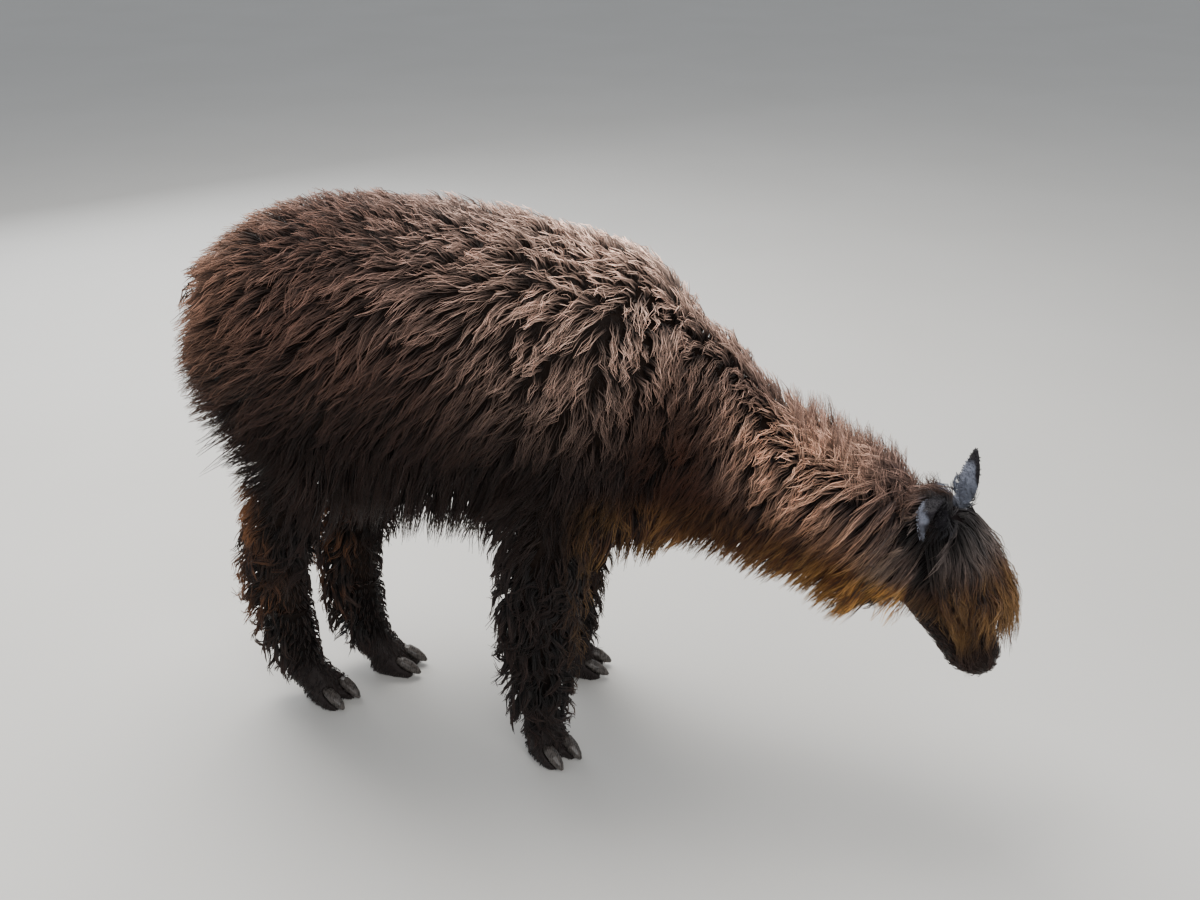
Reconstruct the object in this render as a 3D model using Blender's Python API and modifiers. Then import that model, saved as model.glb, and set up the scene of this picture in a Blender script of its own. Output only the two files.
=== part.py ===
"""A life-size alpaca in full fleece, standing with its head lowered to graze.

Run with: blender --background --python part.py

Metres, +Z up. The animal looks along +X, its left side is +Y, and its soles rest on Z = 0.
Every solid is the outline of the coat. The body is modelled whole, from oval tubes that are
melted together, and is then parted with thin flat cuts where a person would name its parts.
"""

import math

import bmesh
import bpy
from mathutils import Matrix, Vector

# ---------------------------------------------------------------- driving sizes

BACK_HEIGHT = 0.965  # top of the fleece over the loins
TRUNK_HALF_WIDTH = 0.235  # to the tips of the fleece
GAP = 0.0006  # left between two pieces that meet
MERGE = 0.0001
BODY_VOXEL = 0.011
HEAD_VOXEL = 0.0045
FOOT_VOXEL = 0.0040
FORELOCK_VOXEL = 0.0063
TAIL_VOXEL = 0.0088
BODY_TRIANGLES = 2000
HEAD_TRIANGLES = 670
FORELOCK_TRIANGLES = 250
TAIL_TRIANGLES = 200
FOOT_AND_SHANK_TRIANGLES = 165

# The head hangs from the poll at this steepness, and is turned a little to the animal's right.
HEAD_PITCH = math.radians(62.2)
HEAD_YAW = math.radians(-20.6)
POLL = Vector((0.600, -0.072, 0.530))

# Where the thin cuts go.
LEG_TOP_Z = 0.388
KNEE_Z = 0.262
HOCK_Z = 0.240
FETLOCK_Z = 0.078
NECK_CUT_POINT = Vector((0.200, 0.0, 0.60))
NECK_CUT_NORMAL = Vector((0.98, 0.0, -0.17))

SHARP_EDGE = math.radians(50)  # edges sharper than this aren't shaded smooth

# Where each foot stands: (x, y, turn about the upright axis in degrees).
FEET = {
    "fore_right": (-0.004, -0.128, -36),
    "fore_left": (-0.006, 0.128, 4),
    "hind_right": (-0.452, -0.052, -22),
    "hind_left": (-0.362, 0.062, 2),
}
FOOT_LENGTH = 0.092
FOOT_WIDTH = 0.076

# Dark chocolate fleece, black legs and face, grey horn.
COLOURS = {
    "fleece": ((0.060, 0.032, 0.022, 1.0), 0.95),
    "leg_wool": ((0.018, 0.011, 0.009, 1.0), 0.95),
    "face": ((0.012, 0.009, 0.009, 1.0), 0.85),
    "forelock": ((0.050, 0.027, 0.018, 1.0), 0.9),
    "ear": ((0.030, 0.030, 0.036, 1.0), 0.85),
    "eye": ((0.006, 0.004, 0.003, 1.0), 0.08),
    "horn": ((0.180, 0.165, 0.150, 1.0), 0.45),
}


# ---------------------------------------------------------------- scene, collections and materials

for old in list(bpy.data.objects):
    bpy.data.objects.remove(old)

alpaca = bpy.data.collections.new("alpaca")
bpy.context.scene.collection.children.link(alpaca)
workshop = bpy.data.collections.new("workshop")
bpy.context.scene.collection.children.link(workshop)
workshop.hide_render = True


def material(name):
    """A Principled material of that name, from COLOURS."""
    found = bpy.data.materials.get(name)
    if found:
        return found
    colour, roughness = COLOURS[name]
    made = bpy.data.materials.new(name)
    made.use_nodes = True
    shader = made.node_tree.nodes["Principled BSDF"]
    shader.inputs["Base Color"].default_value = colour
    shader.inputs["Roughness"].default_value = roughness
    shader.inputs["Metallic"].default_value = 0.0
    made.diffuse_color = colour
    return made


def helper(name, mesh):
    """An object that only shapes others, kept out of the render."""
    made = bpy.data.objects.new(name, mesh)
    workshop.objects.link(made)
    made.hide_render = True
    made.display_type = "WIRE"
    return made


def part(name, mesh, finish):
    """One named piece of the animal."""
    mesh.materials.clear()
    mesh.materials.append(material(finish))
    mesh.shade_smooth()
    mesh.set_sharp_from_angle(angle=SHARP_EDGE)
    made = bpy.data.objects.new(name, mesh)
    alpaca.objects.link(made)
    return made


# ---------------------------------------------------------------- oval tubes


def smooth_between(stations, steps):
    """Stations of numbers, with more worked out between them on a Catmull-Rom curve."""
    rows = []
    last = len(stations) - 1
    for i in range(last):
        before = stations[max(i - 1, 0)]
        here, there = stations[i], stations[i + 1]
        after = stations[min(i + 2, last)]
        for step in range(steps):
            t = step / steps
            rows.append(
                [
                    0.5
                    * (
                        2 * b
                        + (c - a) * t
                        + (2 * a - 5 * b + 4 * c - d) * t * t
                        + (3 * b - a - 3 * c + d) * t ** 3
                    )
                    for a, b, c, d in zip(before, here, there, after)
                ]
            )
    rows.append(list(stations[-1]))
    return rows


def oval_tube(name, stations, across=Vector((0, 1, 0)), around=28, steps=4):
    """A closed tube through oval stations.

    A station is (x, y, z, half width, depth above, depth below). The width runs along
    `across`, and above is on the side of travel x across: up on a trunk, forward on a leg.
    """
    rows = smooth_between(stations, steps)
    centres = [Vector(row[:3]) for row in rows]
    shape = bmesh.new()
    rings = []
    for i, row in enumerate(rows):
        travel = centres[min(i + 1, len(rows) - 1)] - centres[max(i - 1, 0)]
        above = travel.cross(across).normalized()
        side = above.cross(travel).normalized()
        half_width, up, down = (max(r, 0.002) for r in row[3:6])
        ring = []
        for k in range(around):
            turn = 2 * math.pi * k / around
            height = math.sin(turn) * (up if math.sin(turn) > 0 else down)
            ring.append(
                shape.verts.new(
                    centres[i] + side * math.cos(turn) * half_width + above * height
                )
            )
        rings.append(ring)
    for ring, following in zip(rings, rings[1:]):
        for k in range(around):
            nxt = (k + 1) % around
            shape.faces.new((ring[k], ring[nxt], following[nxt], following[k]))
    shape.faces.new(rings[0])
    shape.faces.new(rings[-1])
    bmesh.ops.recalc_face_normals(shape, faces=shape.faces)
    mesh = bpy.data.meshes.new(name)
    shape.to_mesh(mesh)
    shape.free()
    return helper(name, mesh)


def melted(name, pieces, voxel, smoothing, triangles):
    """The pieces melted into one closed skin, smoothed, and brought down to that many triangles."""
    whole = bmesh.new()
    for piece in pieces:
        copy = piece.data.copy()
        copy.transform(piece.matrix_world)
        whole.from_mesh(copy)
        bpy.data.meshes.remove(copy)
    mesh = bpy.data.meshes.new(name)
    whole.to_mesh(mesh)
    whole.free()
    lump = helper(name, mesh)
    remesh = lump.modifiers.new("melt", "REMESH")
    remesh.mode = "VOXEL"
    remesh.voxel_size = voxel
    remesh.adaptivity = 0
    smooth = lump.modifiers.new("smooth", "SMOOTH")
    smooth.factor = 0.5
    smooth.iterations = smoothing
    fine = evaluated_mesh(lump)
    bpy.data.objects.remove(lump)
    return thinned_out(fine, triangles)


def thinned_out(mesh, triangles):
    """The closed mesh brought down to about that many triangles."""
    block = helper("block", mesh)
    count = sum(len(face.vertices) - 2 for face in mesh.polygons)
    thin = block.modifiers.new("thin_out", "DECIMATE")
    thin.ratio = min(1.0, triangles / count)
    block.modifiers.new("triangles", "TRIANGULATE")
    made = evaluated_mesh(block)
    bpy.data.objects.remove(block)
    return made


def evaluated_mesh(obj):
    """The object's mesh with its modifiers and its place applied."""
    bpy.context.view_layer.update()
    graph = bpy.context.evaluated_depsgraph_get()
    mesh = bpy.data.meshes.new_from_object(obj.evaluated_get(graph))
    mesh.transform(obj.matrix_world)
    return mesh


# ---------------------------------------------------------------- thin cuts


def free_of_slivers(shape):
    """Merges the near-doubled corners that a cut leaves, and drops faces with no area."""
    bmesh.ops.triangulate(shape, faces=shape.faces)
    bmesh.ops.remove_doubles(shape, verts=shape.verts, dist=MERGE)
    bmesh.ops.dissolve_degenerate(shape, edges=shape.edges, dist=MERGE)
    bmesh.ops.triangulate(shape, faces=shape.faces)


def kept_side(mesh, *planes):
    """A copy of the closed mesh with all that lies beyond each (point, outward normal) cut away."""
    shape = bmesh.new()
    shape.from_mesh(mesh)
    for point, outward in planes:
        outward = Vector(outward).normalized()
        everything = shape.verts[:] + shape.edges[:] + shape.faces[:]
        bmesh.ops.bisect_plane(
            shape,
            geom=everything,
            dist=1e-7,
            plane_co=Vector(point) - outward * GAP / 2,
            plane_no=outward,
            clear_outer=True,
        )
        rim = [edge for edge in shape.edges if edge.is_boundary]
        bmesh.ops.holes_fill(shape, edges=rim, sides=0)
    free_of_slivers(shape)
    made = bpy.data.meshes.new("cut")
    shape.to_mesh(made)
    shape.free()
    return made


def loose_pieces(shape):
    """The mesh's loose pieces, each as a set of its corners."""
    waiting = set(shape.verts)
    pieces = []
    while waiting:
        stack = [waiting.pop()]
        piece = set(stack)
        while stack:
            corner = stack.pop()
            for edge in corner.link_edges:
                other = edge.other_vert(corner)
                if other in waiting:
                    waiting.discard(other)
                    piece.add(other)
                    stack.append(other)
        pieces.append(piece)
    return pieces


def only(shape, piece):
    """The mesh of one loose piece alone."""
    rest = [corner for corner in shape.verts if corner not in piece]
    bmesh.ops.delete(shape, geom=rest, context="VERTS")
    made = bpy.data.meshes.new("piece")
    shape.to_mesh(made)
    shape.free()
    return made


def nearest_piece(mesh, place):
    """Of a mesh in several loose pieces, the one nearest to a place."""
    shape = bmesh.new()
    shape.from_mesh(mesh)
    place = Vector(place)
    pieces = loose_pieces(shape)
    return only(shape, min(pieces, key=lambda p: min((v.co - place).length for v in p)))


def largest_piece(mesh):
    """The loose piece with the most corners: a cut can leave crumbs."""
    shape = bmesh.new()
    shape.from_mesh(mesh)
    free_of_slivers(shape)
    return only(shape, max(loose_pieces(shape), key=len))


def grown(mesh, by):
    """A copy of the mesh moved out along its normals."""
    made = mesh.copy()
    normals = [vert.normal.copy() for vert in made.vertices]
    for vert, normal in zip(made.vertices, normals):
        vert.co += normal * by
    return made


def without(mesh, *others, by=GAP):
    """The mesh with the others, grown by the gap, cut out of it."""
    block = helper("block", mesh)
    for other in others:
        cutter = helper("cutter", grown(other, by))
        cut = block.modifiers.new("cut", "BOOLEAN")
        cut.operation = "DIFFERENCE"
        cut.solver = "EXACT"
        cut.object = cutter
    made = evaluated_mesh(block)
    for obj in list(workshop.objects):
        if obj.name.startswith(("block", "cutter")):
            bpy.data.objects.remove(obj)
    return largest_piece(made)


# ---------------------------------------------------------------- the body, whole

W = TRUNK_HALF_WIDTH
TOP = BACK_HEIGHT

# Rump to chest. The belly fleece hangs lowest at the flank.
trunk_tube = oval_tube(
    "trunk_tube",
    [
        (-0.644, 0, 0.715, 0.030, 0.040, 0.040),
        (-0.630, 0, 0.710, W * 0.44, 0.112, 0.090),
        (-0.588, 0, 0.704, W * 0.74, TOP - 0.774, 0.145),
        (-0.500, 0, 0.696, W * 0.94, TOP - 0.720, 0.205),
        (-0.400, 0, 0.690, W, TOP - 0.693, 0.252),
        (-0.260, 0, 0.692, W * 1.03, TOP - 0.690, 0.268),
        (-0.120, 0, 0.685, W * 1.02, TOP - 0.698, 0.268),
        (0.000, 0, 0.660, W * 0.98, TOP - 0.700, 0.256),
        (0.090, 0, 0.632, W * 0.88, TOP - 0.706, 0.235),
        (0.170, 0, 0.610, W * 0.66, 0.205, 0.180),
        (0.212, 0, 0.600, 0.060, 0.090, 0.080),
    ],
)

# From the withers down to the poll, thick with fleece all round.
neck_tube = oval_tube(
    "neck_tube",
    [
        (0.020, 0.000, 0.660, 0.150, 0.200, 0.200),
        (0.110, 0.000, 0.628, 0.170, 0.212, 0.205),
        (0.200, -0.002, 0.588, 0.156, 0.192, 0.176),
        (0.300, -0.012, 0.541, 0.138, 0.152, 0.154),
        (0.400, -0.026, 0.505, 0.128, 0.132, 0.140),
        (0.480, -0.042, 0.482, 0.122, 0.134, 0.132),
        (0.550, -0.058, 0.474, 0.110, 0.128, 0.102),
        (0.598, -0.070, 0.480, 0.084, 0.096, 0.066),
        (0.622, -0.078, 0.490, 0.030, 0.040, 0.024),
    ],
)

# The neck fleece falls in a fringe behind the jaw.
throat_tube = oval_tube(
    "throat_tube",
    [
        (0.410, -0.034, 0.434, 0.060, 0.040, 0.060),
        (0.465, -0.048, 0.400, 0.092, 0.060, 0.056),
        (0.520, -0.062, 0.388, 0.090, 0.060, 0.052),
        (0.566, -0.074, 0.396, 0.052, 0.040, 0.036),
    ],
)

# Chest fleece between and before the forelegs.
brisket_tube = oval_tube(
    "brisket_tube",
    [
        (-0.080, 0, 0.520, 0.120, 0.060, 0.080),
        (0.020, 0, 0.500, 0.170, 0.080, 0.098),
        (0.110, 0, 0.488, 0.165, 0.090, 0.096),
        (0.190, 0, 0.496, 0.115, 0.080, 0.086),
    ],
)


def leg_tube(name, side, stations):
    """A leg from the trunk down. Stations are (x, y, z, half width, front depth, back depth)."""
    return oval_tube(
        name, [(x, y * side, z, w, f, b) for x, y, z, w, f, b in stations], around=24
    )


# The shaggy shanks, as (distance ahead of the foot's place, height, half width, front, back).
FORE_SHANK = [
    (-0.004, 0.120, 0.047, 0.043, 0.062),
    (-0.004, 0.078, 0.041, 0.037, 0.050),
    (-0.002, 0.042, 0.034, 0.031, 0.040),
    (0.002, 0.020, 0.026, 0.024, 0.030),
]
HIND_SHANK = [
    (-0.034, 0.125, 0.046, 0.040, 0.078),
    (-0.024, 0.078, 0.040, 0.037, 0.064),
    (-0.012, 0.042, 0.034, 0.031, 0.046),
    (-0.006, 0.020, 0.026, 0.024, 0.030),
]


def fore_leg(name, side, foot):
    """Shoulder, forearm, knee and shaggy cannon over one forefoot."""
    x, y = foot[0], abs(foot[1])
    return leg_tube(
        name,
        side,
        [
            (x + 0.010, y * 0.86, 0.640, 0.060, 0.060, 0.070),
            (x + 0.004, y * 0.92, 0.540, 0.082, 0.085, 0.094),
            (x + 0.002, y * 0.97, 0.440, 0.082, 0.084, 0.096),
            (x + 0.000, y, 0.350, 0.073, 0.070, 0.090),
            (x - 0.002, y, KNEE_Z, 0.063, 0.058, 0.084),
            (x - 0.003, y, 0.180, 0.054, 0.050, 0.074),
            *((x + ahead, y, *rest) for ahead, *rest in FORE_SHANK),
        ],
    )


def hind_leg(name, side, foot):
    """Thigh, hock and shaggy cannon over one hind foot."""
    x, y = foot[0], abs(foot[1])
    return leg_tube(
        name,
        side,
        [
            (x - 0.006, y + 0.052, 0.640, 0.090, 0.110, 0.100),
            (x - 0.016, y + 0.044, 0.540, 0.096, 0.104, 0.098),
            (x - 0.024, y + 0.034, 0.450, 0.088, 0.080, 0.082),
            (x - 0.036, y + 0.018, 0.360, 0.074, 0.056, 0.078),
            (x - 0.044, y + 0.008, 0.275, 0.062, 0.046, 0.088),
            (x - 0.042, y + 0.002, 0.190, 0.053, 0.044, 0.086),
            *((x + ahead, y, *rest) for ahead, *rest in HIND_SHANK),
        ],
    )


HEEL = 0.42  # share of the foot's length behind its place under the leg
TOE_BELOW = 0.024  # how far a toe is drawn below its axis, for the sole to be cut flat


def toe_axes(foot, inner):
    """Where one toe's axis starts under the leg, and the directions ahead of and beside it."""
    x, y, turn = foot
    yaw = math.radians(turn)
    ahead = Vector((math.cos(yaw), math.sin(yaw), 0))
    across = Vector((-math.sin(yaw), math.cos(yaw), 0))
    aside = across * (1 if inner else -1)
    start = Vector((x, y, 0)) - ahead * FOOT_LENGTH * HEEL
    return start, ahead, across, aside


def toe_tube(name, foot, inner):
    """One of a foot's two toes: a low padded wedge that ends round."""
    start, ahead, across, aside = toe_axes(foot, inner)
    half = FOOT_WIDTH / 4
    rows = []
    for share, spread, width, up, height in (
        (0.00, 0.50, 0.50, 0.014, 0.018),
        (0.12, 0.66, 0.90, 0.030, 0.018),
        (0.38, 0.94, 1.06, 0.034, 0.018),
        (0.64, 1.10, 1.02, 0.024, 0.016),
        (0.84, 1.14, 0.84, 0.015, 0.013),
        (0.95, 1.12, 0.50, 0.008, 0.011),
    ):
        place = start + ahead * FOOT_LENGTH * share + aside * half * spread
        rows.append((place.x, place.y, height, half * width, up, TOE_BELOW))
    return oval_tube(name, rows, across=across, around=20)


def ankle_tube(name, foot):
    """The lowest stretch of that leg, from just above the fetlock down into the foot."""
    side = 1 if foot[1] > 0 else -1
    rows = FORE_SHANK if name.startswith("fore") else HIND_SHANK
    x, y = foot[0], abs(foot[1])
    return leg_tube(
        name + "_ankle", side, [(x + ahead, y, z, *sizes) for ahead, z, *sizes in rows]
    )


leg_tubes = {}
for name, foot in FEET.items():
    side = 1 if foot[1] > 0 else -1
    make = fore_leg if name.startswith("fore") else hind_leg
    leg_tubes[name] = make(name + "_tube", side, foot)

body = melted(
    "body",
    [trunk_tube, neck_tube, throat_tube, brisket_tube, *leg_tubes.values()],
    BODY_VOXEL,
    smoothing=5,
    triangles=BODY_TRIANGLES,
)


# ---------------------------------------------------------------- the head

HEAD = Matrix.Translation(POLL) @ (
    Matrix.Rotation(HEAD_YAW, 4, "Z") @ Matrix.Rotation(HEAD_PITCH, 4, "Y")
)


def on_head(along, across, above):
    """A place on the head: along its axis from poll to lips, to its left, and out of the brow."""
    return HEAD @ Vector((along, across, above))


def head_tube(name, stations, **kw):
    """An oval tube laid out along the head. Stations are (along, across, above, w, up, down)."""
    rows = [tuple(on_head(*row[:3])) + tuple(row[3:]) for row in stations]
    return oval_tube(name, rows, across=HEAD.to_3x3() @ Vector((0, 1, 0)), **kw)


skull_tube = head_tube(
    "skull_tube",
    [
        (-0.012, 0, 0.000, 0.030, 0.028, 0.030),
        (0.012, 0, 0.000, 0.050, 0.046, 0.050),
        (0.055, 0, 0.000, 0.061, 0.055, 0.074),
        (0.100, 0, 0.000, 0.062, 0.051, 0.098),
        (0.145, 0, -0.004, 0.053, 0.043, 0.102),
        (0.185, 0, -0.012, 0.043, 0.040, 0.084),
        (0.222, 0, -0.018, 0.038, 0.041, 0.060),
        (0.252, 0, -0.020, 0.036, 0.043, 0.047),
        (0.276, 0, -0.021, 0.028, 0.034, 0.030),
        (0.290, 0, -0.022, 0.014, 0.016, 0.012),
    ],
)
brow_tubes = [
    head_tube(
        f"brow_{side}",
        [
            (0.076, 0.034 * side, 0.030, 0.014, 0.012, 0.014),
            (0.100, 0.040 * side, 0.030, 0.020, 0.015, 0.018),
            (0.130, 0.033 * side, 0.024, 0.012, 0.010, 0.012),
        ],
        around=16,
    )
    for side in (-1, 1)
]
nose_tube = head_tube(
    "nose_tube",
    [
        (0.222, 0, 0.002, 0.024, 0.020, 0.016),
        (0.250, 0, 0.002, 0.028, 0.024, 0.020),
        (0.268, 0, -0.002, 0.022, 0.019, 0.016),
    ],
    around=16,
)
chin_tube = head_tube(
    "chin_tube",
    [
        (0.226, 0, -0.054, 0.022, 0.016, 0.016),
        (0.254, 0, -0.052, 0.024, 0.016, 0.017),
        (0.275, 0, -0.042, 0.017, 0.013, 0.012),
    ],
    around=16,
)
head = melted(
    "head_whole",
    [skull_tube, nose_tube, chin_tube, *brow_tubes],
    HEAD_VOXEL,
    smoothing=3,
    triangles=HEAD_TRIANGLES,
)

# ---- eyes, in sockets that open through the short coat of the face

EYE_RADIUS = 0.0165
EYE_PLACE = (0.106, 0.0470, 0.0160)
EYE_OUTWARD = (0.10, 1.0, 0.22)  # where the eye looks, on the left side of the head
SOCKET_DEPTH = EYE_RADIUS * 0.35  # how far out of the eye's middle its socket starts
SOCKET_LENGTH = EYE_RADIUS * 0.65 + 0.024
SOCKET_RADII = (EYE_RADIUS * 0.80, EYE_RADIUS * 1.30)  # within, and at the coat's surface


def ball(name, centre, radius, segments=12, rings=8):
    """A sphere as a mesh, in place."""
    shape = bmesh.new()
    bmesh.ops.create_uvsphere(
        shape, u_segments=segments, v_segments=rings, radius=radius
    )
    bmesh.ops.translate(shape, verts=shape.verts, vec=centre)
    bmesh.ops.recalc_face_normals(shape, faces=shape.faces)
    mesh = bpy.data.meshes.new(name)
    shape.to_mesh(mesh)
    shape.free()
    return mesh


def cone(name, base, tip, base_radius, tip_radius, segments=14):
    """A capped cone from base to tip as a mesh, in place."""
    run = tip - base
    shape = bmesh.new()
    bmesh.ops.create_cone(
        shape,
        cap_ends=True,
        segments=segments,
        radius1=base_radius,
        radius2=tip_radius,
        depth=run.length,
    )
    turn = run.to_track_quat("Z", "Y").to_matrix().to_4x4()
    shape.transform(Matrix.Translation((base + tip) / 2) @ turn)
    mesh = bpy.data.meshes.new(name)
    shape.to_mesh(mesh)
    shape.free()
    return mesh


eyes, sockets = {}, []
for word, side in (("right", -1), ("left", 1)):
    along, across, above = EYE_PLACE
    centre = on_head(along, across * side, above)
    outward = HEAD.to_3x3() @ (Vector(EYE_OUTWARD) * Vector((1, side, 1))).normalized()
    eyes[word] = ball("eye_" + word, centre, EYE_RADIUS)
    floor = centre + outward * SOCKET_DEPTH
    sockets.append(cone("socket", floor, floor + outward * SOCKET_LENGTH, *SOCKET_RADII))

# ---- the mouth line, between the head and the lower jaw

MOUTH_CORNER = (0.220, 0, -0.032)
LIPS_RISE = 0.12  # how steeply the mouth line rises from its corner to the lips
CHEEK_FALL = 0.40  # how steeply the jaw's upper edge falls from there back under the cheek
jaw = kept_side(
    head,
    *(
        (on_head(*MOUTH_CORNER), HEAD.to_3x3() @ Vector((-slope, 0, 1)))
        for slope in (LIPS_RISE, CHEEK_FALL)
    ),
)
face = without(head, jaw, *sockets, *eyes.values())
part("head", face, "face")
part("lower_jaw", jaw, "face")
for word, mesh in eyes.items():
    part("eye_" + word, mesh, "eye")


# ---------------------------------------------------------------- ears


EAR_HALF_WIDTH = 0.027
EAR_THICKNESS = 0.0055
EAR_CURL = 0.8  # how deep the leaf is hollowed, as a share of its half width


def ear(name, root, middle, tip, opening):
    """A spear-shaped ear along a bow through root, middle and tip, hollowed towards its opening."""
    pull = middle * 2 - (root + tip) / 2
    half_width = EAR_HALF_WIDTH
    shape = bmesh.new()
    rows = []
    for share, width in (
        (0.0, 0.60),
        (0.18, 0.88),
        (0.38, 1.0),
        (0.60, 0.86),
        (0.80, 0.50),
        (0.97, 0.12),
    ):
        place = root.lerp(pull, share).lerp(pull.lerp(tip, share), share)
        run = (pull.lerp(tip, share) - root.lerp(pull, share)).normalized()
        wide = run.cross(opening).normalized()
        hollow = wide.cross(run).normalized()
        row = []
        for across in (-1, -2 / 3, -1 / 3, 0, 1 / 3, 2 / 3, 1):
            curl = (1 - across * across) * half_width * width * EAR_CURL
            spot = place + wide * across * half_width * width - hollow * curl
            row.append(shape.verts.new(spot))
        rows.append(row)
    for row, following in zip(rows, rows[1:]):
        for k in range(len(row) - 1):
            shape.faces.new((row[k], row[k + 1], following[k + 1], following[k]))
    mesh = bpy.data.meshes.new(name)
    shape.to_mesh(mesh)
    shape.free()
    leaf = helper(name + "_leaf", mesh)
    shell = leaf.modifiers.new("shell", "SOLIDIFY")
    shell.thickness = EAR_THICKNESS
    shell.offset = 0
    shell.use_even_offset = False
    made = evaluated_mesh(leaf)
    bpy.data.objects.remove(leaf)
    return made


# The left ear is pricked. The right one lies out sideways and droops at its tip.
ears = {
    "left": ear(
        "ear_left",
        root=on_head(0.014, 0.040, 0.040),
        middle=on_head(-0.022, 0.051, 0.068),
        tip=on_head(-0.064, 0.058, 0.086),
        opening=HEAD.to_3x3() @ Vector((0.10, 0.60, 0.80)),
    ),
    "right": ear(
        "ear_right",
        root=on_head(0.010, -0.040, 0.034),
        middle=on_head(-0.014, -0.070, 0.034),
        tip=on_head(0.020, -0.098, 0.018),
        opening=HEAD.to_3x3() @ Vector((0.85, 0.15, 0.50)),
    ),
}
ears = {word: without(mesh, head) for word, mesh in ears.items()}
for word, mesh in ears.items():
    part("ear_" + word, mesh, "ear")


# ---------------------------------------------------------------- the forelock

# A helmet of long wool over the brow that hangs in a fringe before the face.
forelock_tube = head_tube(
    "forelock_tube",
    [
        (-0.048, 0, 0.030, 0.026, 0.020, 0.018),
        (-0.026, 0, 0.028, 0.054, 0.036, 0.030),
        (0.010, 0, 0.024, 0.071, 0.050, 0.034),
        (0.065, 0, 0.026, 0.081, 0.061, 0.036),
        (0.120, 0, 0.034, 0.079, 0.059, 0.034),
        (0.170, 0, 0.040, 0.066, 0.047, 0.026),
        (0.212, 0, 0.044, 0.050, 0.030, 0.020),
        (0.233, 0, 0.040, 0.032, 0.015, 0.012),
        (0.241, 0, 0.037, 0.012, 0.006, 0.005),
    ],
    around=24,
)
forelock = melted(
    "forelock_whole",
    [forelock_tube],
    FORELOCK_VOXEL,
    smoothing=2,
    triangles=FORELOCK_TRIANGLES,
)
WINDOW_END = (0.112, 0.120, 0.020)  # where the view out of the eye leaves the forelock
WINDOW_RADII = (0.020, 0.034)
eye_windows = [
    cone(
        "window",
        on_head(EYE_PLACE[0], side * EYE_PLACE[1], EYE_PLACE[2]),
        on_head(WINDOW_END[0], side * WINDOW_END[1], WINDOW_END[2]),
        *WINDOW_RADII,
    )
    for side in (-1, 1)
]

# ---------------------------------------------------------------- neck, trunk and legs

neck_plane = (NECK_CUT_POINT, NECK_CUT_NORMAL)
neck_plane_back = (NECK_CUT_POINT, -NECK_CUT_NORMAL)
neck = kept_side(body, neck_plane_back)
neck = without(neck, head, *ears.values())
part("neck", neck, "fleece")

forelock = without(forelock, head, neck, *ears.values(), *eye_windows)
part("forelock", forelock, "forelock")


def level_cut(z, facing):
    """A level plane at z whose cut-away side is above it (facing 1) or below it (-1)."""
    return ((0, 0, z), (0, 0, facing))


trunk = kept_side(body, neck_plane, level_cut(LEG_TOP_Z, -1))

# ---- the tail hangs close against the rump
tail_tube = oval_tube(
    "tail_tube",
    [
        (-0.556, 0, 0.842, 0.020, 0.020, 0.020),
        (-0.596, 0, 0.818, 0.034, 0.030, 0.036),
        (-0.621, 0, 0.772, 0.040, 0.036, 0.044),
        (-0.630, 0, 0.715, 0.043, 0.036, 0.044),
        (-0.630, 0, 0.650, 0.040, 0.032, 0.042),
        (-0.626, 0, 0.594, 0.029, 0.026, 0.032),
        (-0.622, 0, 0.560, 0.010, 0.010, 0.010),
    ],
    around=16,
    steps=2,
)
tail = melted("tail_whole", [tail_tube], TAIL_VOXEL, smoothing=2, triangles=TAIL_TRIANGLES)
part("tail", tail, "fleece")
part("trunk", without(trunk, tail), "fleece")


# ---- toenails: a long horn on each toe, lying along its top and tip


NAIL_ROOT = FOOT_LENGTH * 0.56  # ahead of the heel
NAIL_ASIDE = FOOT_WIDTH * 0.28  # out from the cleft between the toes
NAIL_CLEARANCE = 0.0012  # between the horn and the floor


def toenail(name, foot, inner):
    """A broad, slightly curved horn that lies along the top and the tip of one toe."""
    start, ahead, across, aside = toe_axes(foot, inner)
    start = start + ahead * NAIL_ROOT + aside * NAIL_ASIDE
    rows = []
    for run, height, width, thick in (
        (0.000, 0.0355, 0.0060, 0.0045),
        (0.010, 0.0325, 0.0118, 0.0090),
        (0.026, 0.0230, 0.0124, 0.0106),
        (0.040, 0.0140, 0.0084, 0.0082),
        (0.048, 0.0085, 0.0026, 0.0030),
    ):
        place = start + ahead * run
        rows.append((place.x, place.y, height, width, thick, thick))
    nail = oval_tube(name, rows, across=across, around=8, steps=1)
    return kept_side(nail.data, level_cut(NAIL_CLEARANCE, -1))


# ---- legs, each in an upper and a lower length and a foot

for name, foot in FEET.items():
    joint_z = KNEE_Z if name.startswith("fore") else HOCK_Z
    limits = {
        "upper_leg": (LEG_TOP_Z, joint_z),
        "lower_leg": (joint_z, FETLOCK_Z),
    }
    for word, (upper, lower) in limits.items():
        length = kept_side(body, level_cut(upper, 1), level_cut(lower, -1))
        mesh = nearest_piece(length, (foot[0], foot[1], (upper + lower) / 2))
        part(f"{name}_{word}", mesh, "leg_wool")
    toes = [toe_tube(f"{name}_toe_{n}", foot, inner=n == 1) for n in (0, 1)]
    nails = [toenail(f"{name}_nail_{n}", foot, inner=n == 1) for n in (0, 1)]
    paw = melted(
        "paw",
        [ankle_tube(name, foot), *toes],
        FOOT_VOXEL,
        smoothing=3,
        triangles=FOOT_AND_SHANK_TRIANGLES,
    )
    paw = kept_side(paw, level_cut(FETLOCK_Z, 1), level_cut(0, -1))
    part(f"{name}_foot", without(paw, *nails), "leg_wool")
    for n, nail in enumerate(nails):
        part(f"{name}_nail_{('outer', 'inner')[n]}", nail, "horn")


# ---------------------------------------------------------------- origin under the middle

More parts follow.
